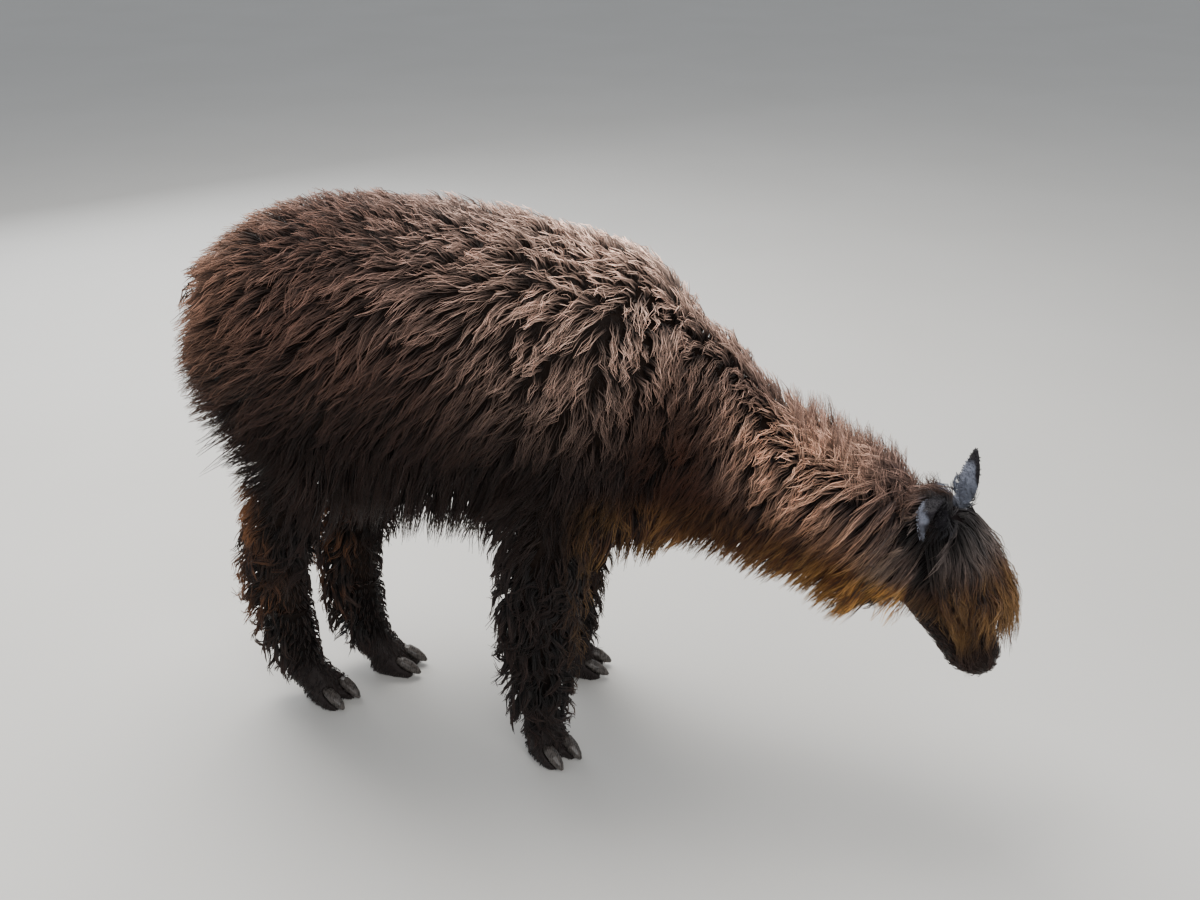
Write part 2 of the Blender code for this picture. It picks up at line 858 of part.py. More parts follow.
corners = [v.co for obj in alpaca.objects for v in obj.data.vertices]
low = Vector(map(min, *corners))
high = Vector(map(max, *corners))
shift = Vector((-(low.x + high.x) / 2, -(low.y + high.y) / 2, -low.z))
for obj in alpaca.objects:
    obj.data.transform(Matrix.Translation(shift))
for obj in list(workshop.objects):
    bpy.data.objects.remove(obj)
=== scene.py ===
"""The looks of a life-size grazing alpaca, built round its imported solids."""

import itertools
import math

import bmesh
import bpy
import numpy as np
from mathutils import Matrix, Vector, noise
from mathutils.bvhtree import BVHTree


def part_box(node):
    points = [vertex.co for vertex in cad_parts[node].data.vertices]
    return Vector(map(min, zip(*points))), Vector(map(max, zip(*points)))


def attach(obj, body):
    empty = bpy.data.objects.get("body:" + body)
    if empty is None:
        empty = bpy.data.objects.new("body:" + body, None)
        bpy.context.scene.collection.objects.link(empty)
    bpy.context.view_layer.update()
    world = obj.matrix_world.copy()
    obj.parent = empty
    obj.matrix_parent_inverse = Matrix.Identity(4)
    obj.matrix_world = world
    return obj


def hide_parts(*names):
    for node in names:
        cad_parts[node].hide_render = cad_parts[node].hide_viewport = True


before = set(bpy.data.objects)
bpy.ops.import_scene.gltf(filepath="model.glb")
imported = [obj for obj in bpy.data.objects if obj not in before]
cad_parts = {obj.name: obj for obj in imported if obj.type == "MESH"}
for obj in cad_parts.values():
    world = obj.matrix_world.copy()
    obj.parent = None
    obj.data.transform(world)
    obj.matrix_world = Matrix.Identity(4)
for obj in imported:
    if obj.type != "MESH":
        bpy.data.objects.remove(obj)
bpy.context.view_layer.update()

# ------------------------------------------------------------------ camera, floor and studio light
# The viewer stands a little over two metres from the animal's right side, with the camera at head
# height and turned down to it. The floor is pale matt card, lit by large soft lamps.

CAMERA_PLACE = (0.4087, -1.919, 1.4997)
CAMERA_TURN, CAMERA_DIP = math.radians(11.5), math.radians(26.0)
CAMERA_LENS, CAMERA_SENSOR, CAMERA_REACH = 39.0, 36.0, 200.0
FLOOR_SIDE = 60.0
FLOOR_COLOURS = ((0.56, 0.55, 0.52, 1), (0.62, 0.61, 0.585, 1))
LAMPS = {
    # name: (place, aimed at, side in metres, watts, colour)
    "sky": ((-0.9, 0.9, 3.4), (-0.1, 0.0, 0.5), 2.6, 210, (1.0, 0.97, 0.93)),
    "window": ((1.6, -2.9, 2.5), (0.0, 0.0, 0.5), 2.4, 90, (1.0, 0.98, 0.96)),
    "far_side": ((-2.6, 2.4, 1.8), (0.0, 0.0, 0.5), 2.4, 60, (0.93, 0.96, 1.0)),
}
ROOM_LIGHT, ROOM_COLOUR = 0.55, (0.86, 0.90, 0.96, 1)


def in_scene(name, data):
    """A new object with that data, in the scene."""
    made = bpy.data.objects.new(name, data)
    bpy.context.scene.collection.objects.link(made)
    return made


camera = in_scene("camera", bpy.data.cameras.new("camera"))
camera.location = CAMERA_PLACE
camera.rotation_euler = (math.pi / 2 - CAMERA_DIP, 0, CAMERA_TURN)
camera.data.sensor_width = CAMERA_SENSOR
camera.data.lens = CAMERA_LENS
camera.data.clip_end = CAMERA_REACH
bpy.context.scene.camera = camera

for name, (place, target, side, watts, colour) in LAMPS.items():
    lamp = in_scene(name, bpy.data.lights.new(name, "AREA"))
    lamp.location = place
    lamp.rotation_euler = (Vector(target) - Vector(place)).to_track_quat("-Z", "Y").to_euler()
    lamp.data.size = side
    lamp.data.energy = watts
    lamp.data.color = colour

room = bpy.data.worlds.new("room")
room.use_nodes = True
room.node_tree.nodes["Background"].inputs["Color"].default_value = ROOM_COLOUR
room.node_tree.nodes["Background"].inputs["Strength"].default_value = ROOM_LIGHT
bpy.context.scene.world = room


def new_material(name):
    """A material with only a Principled shader and its output: the material, tree and shader."""
    made = bpy.data.materials.new(name)
    made.use_nodes = True
    return made, made.node_tree, made.node_tree.nodes["Principled BSDF"]


def fill(node, values):
    """Fills a node's inputs, by name or number, with numbers, or with links from other nodes."""
    for name, value in values.items():
        value = getattr(value, "socket", value)
        if isinstance(value, bpy.types.Node):
            value = value.outputs[0]
        if isinstance(value, bpy.types.NodeSocket):
            node.id_data.links.new(value, node.inputs[name])
        else:
            node.inputs[name].default_value = value


def put(tree, kind, values=(), **settings):
    """A new node of that kind, set and filled."""
    node = tree.nodes.new(kind)
    for name, value in settings.items():
        setattr(node, name, value)
    fill(node, dict(values))
    return node


class Amount:
    """A number that changes over a surface: a node's socket, which takes plain arithmetic."""

    def __init__(self, socket):
        self.socket = socket
        self.tree = socket.id_data

    def step(self, operation, first, second):
        """One node of arithmetic on numbers, sockets or amounts."""
        node = put(self.tree, "ShaderNodeMath", {0: first, 1: second}, operation=operation)
        return Amount(node.outputs[0])

    def __add__(self, other):
        return self.step("ADD", self, other)

    def __sub__(self, other):
        return self.step("SUBTRACT", self, other)

    def __rsub__(self, other):
        return self.step("SUBTRACT", other, self)

    def __mul__(self, other):
        return self.step("MULTIPLY", self, other)

    def most(self, other):
        """The larger of the two."""
        return self.step("MAXIMUM", self, other)


def object_place(tree):
    """The place on the piece."""
    return put(tree, "ShaderNodeTexCoord").outputs["Object"]


def mottled(place, scale, detail=2.0, roughness=0.5):
    """Cloudy noise over a place, mostly between 0.3 and 0.7."""
    values = {"Vector": place, "Scale": scale, "Detail": detail, "Roughness": roughness}
    return Amount(put(place.id_data, "ShaderNodeTexNoise", values).outputs["Fac"])


def blended(share, low, high):
    """A colour between two, by an amount from 0 to 1."""
    return put(share.tree, "ShaderNodeMix", {0: share, 6: low, 7: high}, data_type="RGBA").outputs[2]


def as_mesh(shape, name):
    """A mesh from an editable shape, which is used up."""
    mesh = bpy.data.meshes.new(name)
    shape.to_mesh(mesh)
    shape.free()
    return mesh


card, tree, shader = new_material("floor_card")
paper = blended(mottled(object_place(tree), 1.4, 4.0), *FLOOR_COLOURS)
fill(shader, {"Base Color": paper, "Roughness": 0.85})
sheet = bmesh.new()
bmesh.ops.create_grid(sheet, x_segments=2, y_segments=2, size=FLOOR_SIDE / 2)
floor = in_scene("floor", as_mesh(sheet, "floor"))
floor.data.materials.append(card)

# ------------------------------------------------------------------ the skin
# One hide covers the whole animal, from the lips to the tail and the soles. It lies under the wool,
# so deep that the tips of the coat reach the solids' outline, and shows at the nose and the feet.

FLESH = ["trunk", "neck", "tail", "head", "lower_jaw"]
EARS = ["ear_left", "ear_right"]
LEGS = ["fore_right", "fore_left", "hind_right", "hind_left"]
LEG_LENGTHS = [leg + part for leg in LEGS for part in ("_upper_leg", "_lower_leg")]
FEET = [leg + "_foot" for leg in LEGS]
BODY_VOXEL, HEAD_VOXEL, FOOT_VOXEL = 0.010, 0.0019, 0.0034

# The head's own axes come from its eyes, which are level, and from how steeply it hangs.
HEAD_PITCH = math.radians(62.2)
EYES_AHEAD = 0.106  # of the poll, along the head
EYES_ABOVE = 0.016  # the head's axis, towards the brow


def middle(node):
    """The middle of a CAD node's box."""
    low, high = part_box(node)
    return (low + high) / 2


UP = Vector((0, 0, 1))
head_across = (middle("eye_left") - middle("eye_right")).normalized()
head_level = head_across.cross(UP).normalized()
head_along = head_level * math.cos(HEAD_PITCH) - UP * math.sin(HEAD_PITCH)
head_above = head_level * math.sin(HEAD_PITCH) + UP * math.cos(HEAD_PITCH)
poll = (middle("eye_left") + middle("eye_right")) / 2
poll = poll - head_along * EYES_AHEAD - head_above * EYES_ABOVE
HEAD_AXES = np.array([head_along, head_across, head_above])


def on_head(along, across, above):
    """A place on the head: along its axis from poll to lips, to its left, and out of the brow."""
    return poll + head_along * along + head_across * across + head_above * above


def head_places(points):
    """Where points lie on the head: (along, across, above) for each."""
    return (points - np.array(poll)) @ HEAD_AXES.T


def fade(values, start, end):
    """0 at start and 1 at end, smooth between. Start may be above end."""
    share = np.clip((np.asarray(values, float) - start) / (end - start), 0, 1)
    return share * share * (3 - 2 * share)


def mixed(low, high, share):
    """A value between two, by a share from 0 to 1."""
    return low + (high - low) * share


def vectors(data, field):
    """A field of a mesh's vertices, as an array of rows."""
    found = np.empty(len(data) * 3, np.float32)
    data.foreach_get(field, found)
    return found.reshape(-1, 3).astype(float)


def moved(mesh, places):
    """The mesh with its vertices at those places."""
    mesh.vertices.foreach_set("co", places.astype(np.float32).ravel())
    mesh.update()
    return mesh


def evaluated(mesh, *steps):
    """The mesh after modifiers, each given as (type, settings)."""
    block = in_scene("block", mesh)
    for kind, settings in steps:
        modifier = block.modifiers.new(kind, kind)
        for name, value in settings.items():
            setattr(modifier, name, value)
    graph = bpy.context.evaluated_depsgraph_get()
    made = bpy.data.meshes.new_from_object(block.evaluated_get(graph))
    bpy.data.objects.remove(block)
    return made


def smooth(rounds):
    """A smoothing step for evaluated."""
    return ("SMOOTH", {"factor": 0.5, "iterations": rounds})


def melted(mesh, voxel, smoothing):
    """The closed mesh rebuilt in even faces as large as a voxel, and smoothed."""
    return evaluated(mesh, ("REMESH", {"mode": "VOXEL", "voxel_size": voxel}), smooth(smoothing))


def lump(nodes, extras, voxel, smoothing):
    """Copies of CAD nodes, and extra (centre, radius) balls, melted into one closed mesh."""
    whole = bmesh.new()
    for node in nodes:
        whole.from_mesh(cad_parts[node].data)
    for centre, radius in extras:
        turn = Matrix.Translation(centre)
        bmesh.ops.create_icosphere(whole, subdivisions=3, radius=radius, matrix=turn)
    bmesh.ops.remove_doubles(whole, verts=whole.verts, dist=0.00001)
    return melted(as_mesh(whole, "lump"), voxel, smoothing)


def sunk(mesh, depth_at, voxel, rounds=4):
    """The closed mesh with its surface moved inwards by depth_at(places, normals), melted clean."""
    depths = depth_at(vectors(mesh.vertices, "co"), vectors(mesh.vertices, "normal"))
    for _ in range(rounds):
        inward = vectors(mesh.vertices, "normal") * depths[:, None] / rounds
        mesh = evaluated(moved(mesh, vectors(mesh.vertices, "co") - inward), smooth(1))
    return melted(mesh, voxel, 2)


# How deep the skin lies under the outline of the wool.
BACK_WOOL, FLANK_WOOL, BELLY_WOOL = 0.036, 0.050, 0.072
NAPE_WOOL, NECK_WOOL, THROAT_WOOL = 0.034, 0.042, 0.058
THIGH_WOOL, SHANK_WOOL, FOOT_WOOL, TAIL_WOOL = 0.030, 0.020, 0.0015, 0.020
FACE_WOOL, EAR_WOOL = 0.0035, 0.0008
UNDER_FACE, UNDER_SHANK = 0.012, 0.007  # the coarse body hides inside the fine head and feet
NECK_START, NECK_FULL = 0.08, 0.24
LEG_TOP, LEG_FULL, KNEE = 0.50, 0.37, 0.25
FETLOCK, PASTERN = 0.085, 0.040
FINE_SHANK_TOP = 0.200  # the finely made shanks and feet reach up to here
CHEST = 0.15  # all the legs are behind this
SOLE, SOLE_DROP, SOLE_SLOPE = 0.006, 0.0018, 1.4  # the soles' edges are drawn down to the floor


def in_box(places, node, outside, inside):
    """1 for places in a CAD node's box, 0 beyond it, between two distances from its faces."""
    low, high = (np.array(corner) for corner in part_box(node))
    beyond = np.maximum(low - places, places - high).max(axis=1)
    return fade(beyond, outside, inside)


def wool_depth(places, normals):
    """The depth of the wool over trunk, neck, tail and legs."""
    up, down = fade(normals[:, 2], 0.2, 0.8), fade(normals[:, 2], -0.1, -0.7)
    trunk = FLANK_WOOL + (BACK_WOOL - FLANK_WOOL) * up + (BELLY_WOOL - FLANK_WOOL) * down
    neck = NECK_WOOL + (NAPE_WOOL - NECK_WOOL) * up + (THROAT_WOOL - NECK_WOOL) * down
    depth = mixed(trunk, neck, fade(places[:, 0], NECK_START, NECK_FULL))
    leg = mixed(THIGH_WOOL, SHANK_WOOL, fade(places[:, 2], LEG_FULL, KNEE))
    depth = mixed(depth, leg, fade(places[:, 2], LEG_TOP, LEG_FULL) * (places[:, 0] < CHEST))
    return mixed(depth, TAIL_WOOL, in_box(places, "tail", 0.004, -0.012))


def head_share(places):
    """1 on the head, 0 on the neck, by how far a place lies past the back of the skull."""
    along, across, above = head_places(places).T
    ahead = fade(along + 0.55 * above, 0.005, 0.06)
    return ahead * fade(np.abs(across), 0.13, 0.10) * (places[:, 0] > 0.4)


def foot_depth(places, normals):
    """Wool down the shank, thinning to the short hair of the toes."""
    return mixed(FOOT_WOOL, SHANK_WOOL, fade(places[:, 2], PASTERN, FETLOCK))


def body_depth(places, normals):
    """The coarse body's depth: it withdraws inside the fine head and feet."""
    depth = mixed(wool_depth(places, normals), UNDER_FACE, head_share(places))
    in_shank = fade(places[:, 2], FINE_SHANK_TOP + 0.02, FINE_SHANK_TOP - 0.01)
    return mixed(depth, foot_depth(places, normals) + UNDER_SHANK, in_shank * (places[:, 0] < CHEST))


def face_depth(places, normals):
    """Short hair over the face, shorter yet on the ears."""
    depth = np.full(len(places), FACE_WOOL)
    for ear in EARS:
        depth += (EAR_WOOL - FACE_WOOL) * in_box(places, ear, 0.006, -0.006)
    return np.clip(depth, EAR_WOOL, FACE_WOOL)


def below(mesh, height):
    """The closed mesh cut off level at that height, and closed again."""
    shape = bmesh.new()
    shape.from_mesh(mesh)
    everything = shape.verts[:] + shape.edges[:] + shape.faces[:]
    bmesh.ops.bisect_plane(shape, geom=everything, plane_co=UP * height, plane_no=UP, clear_outer=True)
    rim = [edge for edge in shape.edges if edge.is_boundary]
    bmesh.ops.holes_fill(shape, edges=rim, sides=0)
    bmesh.ops.triangulate(shape, faces=[face for face in shape.faces if len(face.verts) > 4])
    return as_mesh(shape, "below")


def in_order(mesh):
    """The mesh with its faces in a fixed order, so that every run gives the same."""
    faces = [tuple(face.vertices) for face in mesh.polygons]
    firsts = [face.index(min(face)) for face in faces]
    faces = sorted(face[first:] + face[:first] for face, first in zip(faces, firsts))
    made = bpy.data.meshes.new("ordered")
    made.from_pydata(vectors(mesh.vertices, "co").tolist(), [], faces)
    return made


def joined(mesh, others, operation):
    """The closed mesh united with the others, or with them cut away."""
    blocks = [in_scene("block", other) for other in others]
    settings = {"operation": operation, "solver": "MANIFOLD"}
    made = evaluated(mesh, *[("BOOLEAN", settings | {"object": block}) for block in blocks])
    for block in blocks:
        bpy.data.objects.remove(block)
    return in_order(made)


body = lump(FLESH + LEG_LENGTHS + FEET, [], BODY_VOXEL, 2)
body = sunk(body, body_depth, BODY_VOXEL)
feet = []
for leg in LEGS:
    foot = lump([leg + "_lower_leg", leg + "_foot"], [], FOOT_VOXEL, 1)
    foot = below(sunk(foot, foot_depth, FOOT_VOXEL, 2), FINE_SHANK_TOP)
    places = vectors(foot.vertices, "co")
    drawn_down = (places[:, 2] - SOLE_DROP) * SOLE_SLOPE
    places[:, 2] = np.maximum(np.where(places[:, 2] < SOLE, drawn_down, places[:, 2]), 0.0)
    feet.append(moved(foot, places))

# The head: round lid balls close the eye sockets, and balls of muscle carry the ears.
eye_low, eye_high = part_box("eye_right")
EYE_RADIUS = (eye_high.z - eye_low.z) / 2
LID_BALL = EYE_RADIUS + 0.0052
EAR_MUSCLES = [(on_head(0.012, 0.036, 0.034), 0.017), (on_head(0.010, -0.036, 0.030), 0.017)]
LIDS = [(middle("eye_right"), LID_BALL), (middle("eye_left"), LID_BALL)]
face = lump(["head", "lower_jaw"] + EARS, EAR_MUSCLES + LIDS, HEAD_VOXEL, 2)
face = sunk(face, face_depth, HEAD_VOXEL, 2)

# The mouth line, the cleft of the upper lip and the comma-shaped nostrils are pressed into it.
MOUTH_CORNER = (0.220, -0.032)  # along the head, above its axis
MOUTH_RISE = 0.12
LIP_PRESS, LIP_SOFT = 0.0026, 0.0024
LIP_HALF, UPPER_LIP_SWELL, LOWER_LIP_SWELL = 0.006, 0.0012, 0.0010
CLEFT_PRESS, CLEFT_SOFT = 0.0022, 0.0022
NOSTRIL = (0.2765, 0.0130, 0.0005)
NOSTRIL_SLIT = Vector((0.62, 0.55, 0.56)).normalized()  # its long way, on the left side
NOSTRIL_HALF, NOSTRIL_SOFT, NOSTRIL_PRESS = 0.0075, 0.0026, 0.0048
NOSTRIL_RIM, RIM_HALF, RIM_SOFT, RIM_SWELL = 0.0052, 0.010, 0.0022, 0.0012


def hump(away, width):
    """1 where away is 0, falling softly to nothing at a few widths."""
    return np.exp(-((away / width) ** 2))


places, normals = vectors(face.vertices, "co"), vectors(face.vertices, "normal")
along, across, above = head_places(places).T
over_mouth = above - (MOUTH_CORNER[1] + MOUTH_RISE * (along - MOUTH_CORNER[0]))
press = LIP_PRESS * hump(over_mouth, LIP_SOFT) * fade(along, 0.212, 0.228)
lips_front = fade(along, 0.262, 0.276) * fade(over_mouth, 0.020, 0.012) * fade(over_mouth, -0.004, 0.002)
press += CLEFT_PRESS * hump(across, CLEFT_SOFT) * lips_front
for side in (-1, 1):
    away = head_places(places) - np.array(NOSTRIL) * (1, side, 1)
    run = away @ (np.array(NOSTRIL_SLIT) * (1, side, 1))
    aside = np.sqrt(np.maximum((away**2).sum(1) - run**2, 0))
    press += NOSTRIL_PRESS * np.exp(-((run / NOSTRIL_HALF) ** 2) - (aside / NOSTRIL_SOFT) ** 2)
    press -= RIM_SWELL * np.exp(-((run / RIM_HALF) ** 2) - ((aside - NOSTRIL_RIM) / RIM_SOFT) ** 2)
lips = fade(along, 0.235, 0.265)
press -= UPPER_LIP_SWELL * hump(over_mouth - LIP_HALF, 0.005) * lips
press -= LOWER_LIP_SWELL * hump(over_mouth + LIP_HALF, 0.004) * lips
face = moved(face, places - normals * press[:, None])

# The lids open in an almond over each eyeball.
EYE_OUTWARD = Vector((0.10, 1.0, 0.22)).normalized()  # on the left side of the head
LID_CLEARANCE = 0.0004
ALMOND = (0.0138, 0.0086, 0.0066)  # half length, upper lid's rise, lower lid's fall
ALMOND_POINTS = 32


def eye_axes(side):
    """The eye's outward, forward and upward directions, on the left (1) or the right (-1)."""
    outward = Vector(np.array(EYE_OUTWARD) * (1, side, 1) @ HEAD_AXES)
    forward = (head_along - outward * head_along.dot(outward)).normalized()
    upward = forward.cross(outward) * (1 if side > 0 else -1)
    upward = upward if upward.dot(head_above) > 0 else -upward
    return outward, forward, upward


def almond_cutter(centre, side):
    """A wedge with an almond outline, from within the eye out through the lids."""
    outward, forward, upward = eye_axes(side)
    half, rise, fall = ALMOND
    ring = []
    for k in range(ALMOND_POINTS):
        turn = 2 * math.pi * k / ALMOND_POINTS
        lift = math.sin(turn) * (rise if math.sin(turn) > 0 else fall)
        lift *= 1 - 0.25 * abs(math.cos(turn))
        ring.append(forward * math.cos(turn) * half + upward * lift)
    shape = bmesh.new()
    near = [shape.verts.new(centre + outward * EYE_RADIUS * 0.25 + spoke * 0.9) for spoke in ring]
    far = [shape.verts.new(centre + outward * EYE_RADIUS * 1.9 + spoke * 1.25) for spoke in ring]
    for k in range(ALMOND_POINTS):
        following = (k + 1) % ALMOND_POINTS
        shape.faces.new((near[k], near[following], far[following], far[k]))
    shape.faces.new(near[::-1])
    shape.faces.new(far)
    bmesh.ops.recalc_face_normals(shape, faces=shape.faces)
    return as_mesh(shape, "almond")


def round_ball(centre, radius, rings):
    """A fine closed ball."""
    shape = bmesh.new()
    turn = Matrix.Translation(centre)
    bmesh.ops.create_uvsphere(shape, u_segments=48, v_segments=rings, radius=radius, matrix=turn)
    return as_mesh(shape, "ball")


EYES = {"eye_right": -1, "eye_left": 1}
cutters = []
for node, side in EYES.items():
    cutters.append(round_ball(middle(node), EYE_RADIUS + LID_CLEARANCE, 24))
    cutters.append(almond_cutter(middle(node), side))
face = joined(face, cutters, "DIFFERENCE")
hide = joined(body, [face, *feet], "UNION")

# ------------------------------------------------------------------ combing the wool
# The fleece grows in locks. Each lock leaves the skin, bends over and lies along the body, or
# hangs free below it, and its strands draw together towards a pointed tip.

ROOT_SUNK = 0.003
LINE_STEPS = 10
STIFFNESS = 0.35  # how much of its last heading a lock keeps at each step
THINNEST, DEEPEST = 0.0035, 0.080  # the height of the wool over the skin
PATCH = 0.003  # each lock's patch on the coat's unwrap
SEED = 1926
dice = np.random.default_rng(SEED)


def tree_of(mesh):
    """A search tree over a mesh's faces."""
    corners = [tuple(place) for place in vectors(mesh.vertices, "co")]
    return BVHTree.FromPolygons(corners, [tuple(face.vertices) for face in mesh.polygons])


skin_tree = tree_of(hide)
outline_tree = tree_of(lump(FLESH + LEG_LENGTHS + FEET + ["forelock"], [], 0.007, 1))


def nearest(tree, places):
    """The nearest places on a surface, with its normals there."""
    found = [tree.find_nearest(Vector(place)) for place in places]
    return np.array([f[0] for f in found]), np.array([f[1] for f in found])


def unit(rows):
    """Each row at length one."""
    return rows / np.maximum(np.linalg.norm(rows, axis=-1, keepdims=True), 1e-9)


def scattered(mesh, count):
    """That many places spread over a mesh by area, with its normals."""
    mesh.calc_loop_triangles()
    corners = np.empty(len(mesh.loop_triangles) * 3, np.int32)
    mesh.loop_triangles.foreach_get("vertices", corners)
    points = vectors(mesh.vertices, "co")[corners].reshape(-1, 3, 3)
    cross = np.cross(points[:, 1] - points[:, 0], points[:, 2] - points[:, 0])
    area = np.linalg.norm(cross, axis=1) / 2
    chosen = dice.choice(len(area), count, p=area / area.sum())
    a, b = dice.random(count), dice.random(count)
    fold = a + b > 1
    a, b = np.where(fold, 1 - a, a)[:, None], np.where(fold, 1 - b, b)[:, None]
    first, second, third = points[chosen].swapaxes(0, 1)
    return first + a * (second - first) + b * (third - first), unit(cross[chosen])


def spaced(places, gaps):
    """Which of the places to keep, so that no two lie nearer than their gap."""
    around = list(itertools.product((-1, 0, 1), repeat=3))
    limits = gaps * gaps
    grid, kept = {}, []
    for i, (x, y, z) in enumerate(np.floor(places / float(np.max(gaps))).astype(int)):
        place, limit = places[i], limits[i]
        beside = (j for u, v, w in around for j in grid.get((x + u, y + v, z + w), ()))
        if not any((away := place - places[j]) @ away < limit for j in beside):
            kept.append(i)
            grid.setdefault((x, y, z), []).append(i)
    return np.array(kept)


def drifting(places, scale, layer):
    """A smooth random value from -1 to 1 for each place, drifting over that many metres."""
    return np.array([noise.noise(Vector(place) / scale + Vector((layer, 0, 0))) for place in places])


def turned(rows, axes, angles):
    """Each row turned about its axis."""
    cos, sin = np.cos(angles)[:, None], np.sin(angles)[:, None]
    along_axis = (rows * axes).sum(1)[:, None] * axes
    return along_axis + (rows - along_axis) * cos + np.cross(axes, rows) * sin


def wool_height(near, facing):
    """How far the coat's outline stands over places on the skin, straight out or a little aside."""
    aside = np.linalg.norm(nearest(outline_tree, near)[0] - near, axis=1)
    hits = [outline_tree.ray_cast(Vector(n), Vector(f), 0.09)[3] for n, f in zip(near, facing)]
    straight = np.array([aside[i] if hit is None else hit for i, hit in enumerate(hits)])
    return np.clip(np.minimum(straight, 1.7 * aside + 0.010), THINNEST, DEEPEST)


def combed(roots, normals, lengths, lie, turns, lift, beyond, steps):
    """The line of each lock, the outward direction along it, and the share of it to keep.

    lie(places, normals) gives the way the hair falls. A lock reaches its own share, its lift, of
    the wool's height over the skin, and falls turned by its own angle from the lie. It is kept
    until it passes the coat's outline by more than it may.
    """
    places = roots - normals * np.minimum(ROOT_SUNK, lengths * 0.06)[:, None]
    lines, outs, heading = [places], [normals], normals
    step = (lengths / (steps - 1))[:, None]
    for k in range(1, steps):
        near, facing = nearest(skin_tree, places)
        facing = np.where(((places - near) * facing).sum(1)[:, None] < -0.004, -facing, facing)
        height = ((places - near) * facing).sum(1)[:, None]
        fall = turned(lie(places, facing), facing, turns * (0.4 + 1.2 * k / (steps - 1)))
        down = (fall * facing).sum(1)[:, None]
        flat = unit(fall - down * facing)
        reached = 1 - (1 - k / (steps - 1)) ** 2
        wanted = reached * (lift * wool_height(near, facing))[:, None] - height
        rising = np.clip(wanted, -0.30 * step, 0.94 * step)
        along_skin = flat * np.sqrt(step**2 - rising**2) + facing * rising
        hanging = fade(down, 0.05, 0.65)
        move = unit(along_skin * (1 - hanging) + fall * step * hanging)
        heading = unit(move * (1 - STIFFNESS) + heading * STIFFNESS)
        places = places + heading * step
        lines.append(places)
        outs.append(unit(facing - (facing * heading).sum(1)[:, None] * heading))
    lines, outs = np.stack(lines, 1), np.stack(outs, 1)
    shares = np.ones(len(roots))
    for k in range(steps - 1, 2, -1):
        near, facing = nearest(outline_tree, lines[:, k])
        past = ((lines[:, k] - near) * facing).sum(1)
        shares = np.where(past > beyond, (k - 0.4) / (steps - 1), shares)
    return lines, outs, shares


def gathered(lines, roots, gap, pull):
    """Locks drawn together into tufts, which leaves furrows between them."""
    centres = spaced(roots, np.full(len(roots), gap))
    away = np.linalg.norm(roots[:, None, :] - roots[centres][None, :, :], axis=2)
    owner = centres[away.argmin(1)]
    way = np.linspace(0, 1, lines.shape[1])[None, :, None] ** 1.2
    return lines + (lines[owner] - lines) * way * pull[:, None, None]


def between(rows, shares):
    """Rows (locks, steps, 3) read at each lock's own shares of the way (locks, points)."""
    spot = np.clip(shares, 0, 1) * (rows.shape[1] - 1)
    low = np.minimum(spot.astype(int), rows.shape[1] - 2)
    part = (spot - low)[..., None]
    index = np.arange(len(rows))[:, None]
    return rows[index, low] * (1 - part) + rows[index, low + 1] * part


LOOKS = ["radius", "clump", "wave", "wave_length", "frizz", "width", "flick"]


def strands(lines, outs, shares, lengths, per_lock, points, look):
    """The strands of each lock, as points, outward directions, half widths, and their locks.

    The look of a lock is its radius, how far its strands clump together at the tip, the height
    and length of its waves, how far each strand strays from them, the strands' half width, and how
    far the tip flicks outwards.
    """
    owner = np.repeat(np.arange(len(lines)), per_lock)
    count = len(owner)
    radius, clump, wave, wave_length, frizz, width, flick = (look[name][owner][:, None] for name in LOOKS)
    cut = shares[owner] * (1 - 0.35 * dice.random(count) ** 1.6)
    way = np.linspace(0, 1, points)[None, :]
    spots = between(lines[owner], way * cut[:, None])
    out = unit(between(outs[owner], way * cut[:, None]))
    ahead = unit(np.gradient(spots, axis=1))
    side = unit(np.cross(ahead, out))
    out = np.cross(side, ahead)
    turn, reach = dice.random(count) * 2 * math.pi, np.sqrt(dice.random(count))
    spread = radius * (1 - clump * way**1.3) * (1 + 0.35 * np.sin(math.pi * way))
    sideways = np.cos(turn)[:, None] * reach[:, None] * spread
    outward = np.sin(turn)[:, None] * reach[:, None] * spread * 0.6
    metres = way * (cut * lengths[owner])[:, None]
    phase = (dice.random(len(lines)) * 2 * math.pi)[owner] + dice.normal(0, 0.35, count)
    swing = wave * way**0.7 * np.sin(2 * math.pi * metres / wave_length + phase[:, None])
    bob = wave * way**0.7 * np.cos(2 * math.pi * metres / wave_length + phase[:, None] * 1.3)
    stray = dice.normal(0, 1, (count, points, 2)) * way[..., None] * frizz[..., None]
    sideways = sideways + swing + stray[..., 0]
    outward = outward + bob * 0.6 + stray[..., 1] + flick * way**2.5
    spots = spots + side * sideways[..., None] + out * outward[..., None]
    thick = width * (0.7 + 0.6 * dice.random(count))[:, None]
    taper = np.minimum(1, 0.60 + 1.6 * way) * np.clip((1 - way) * 1.9, 0.09, 1) ** 0.8
    return spots, out, thick * taper, owner


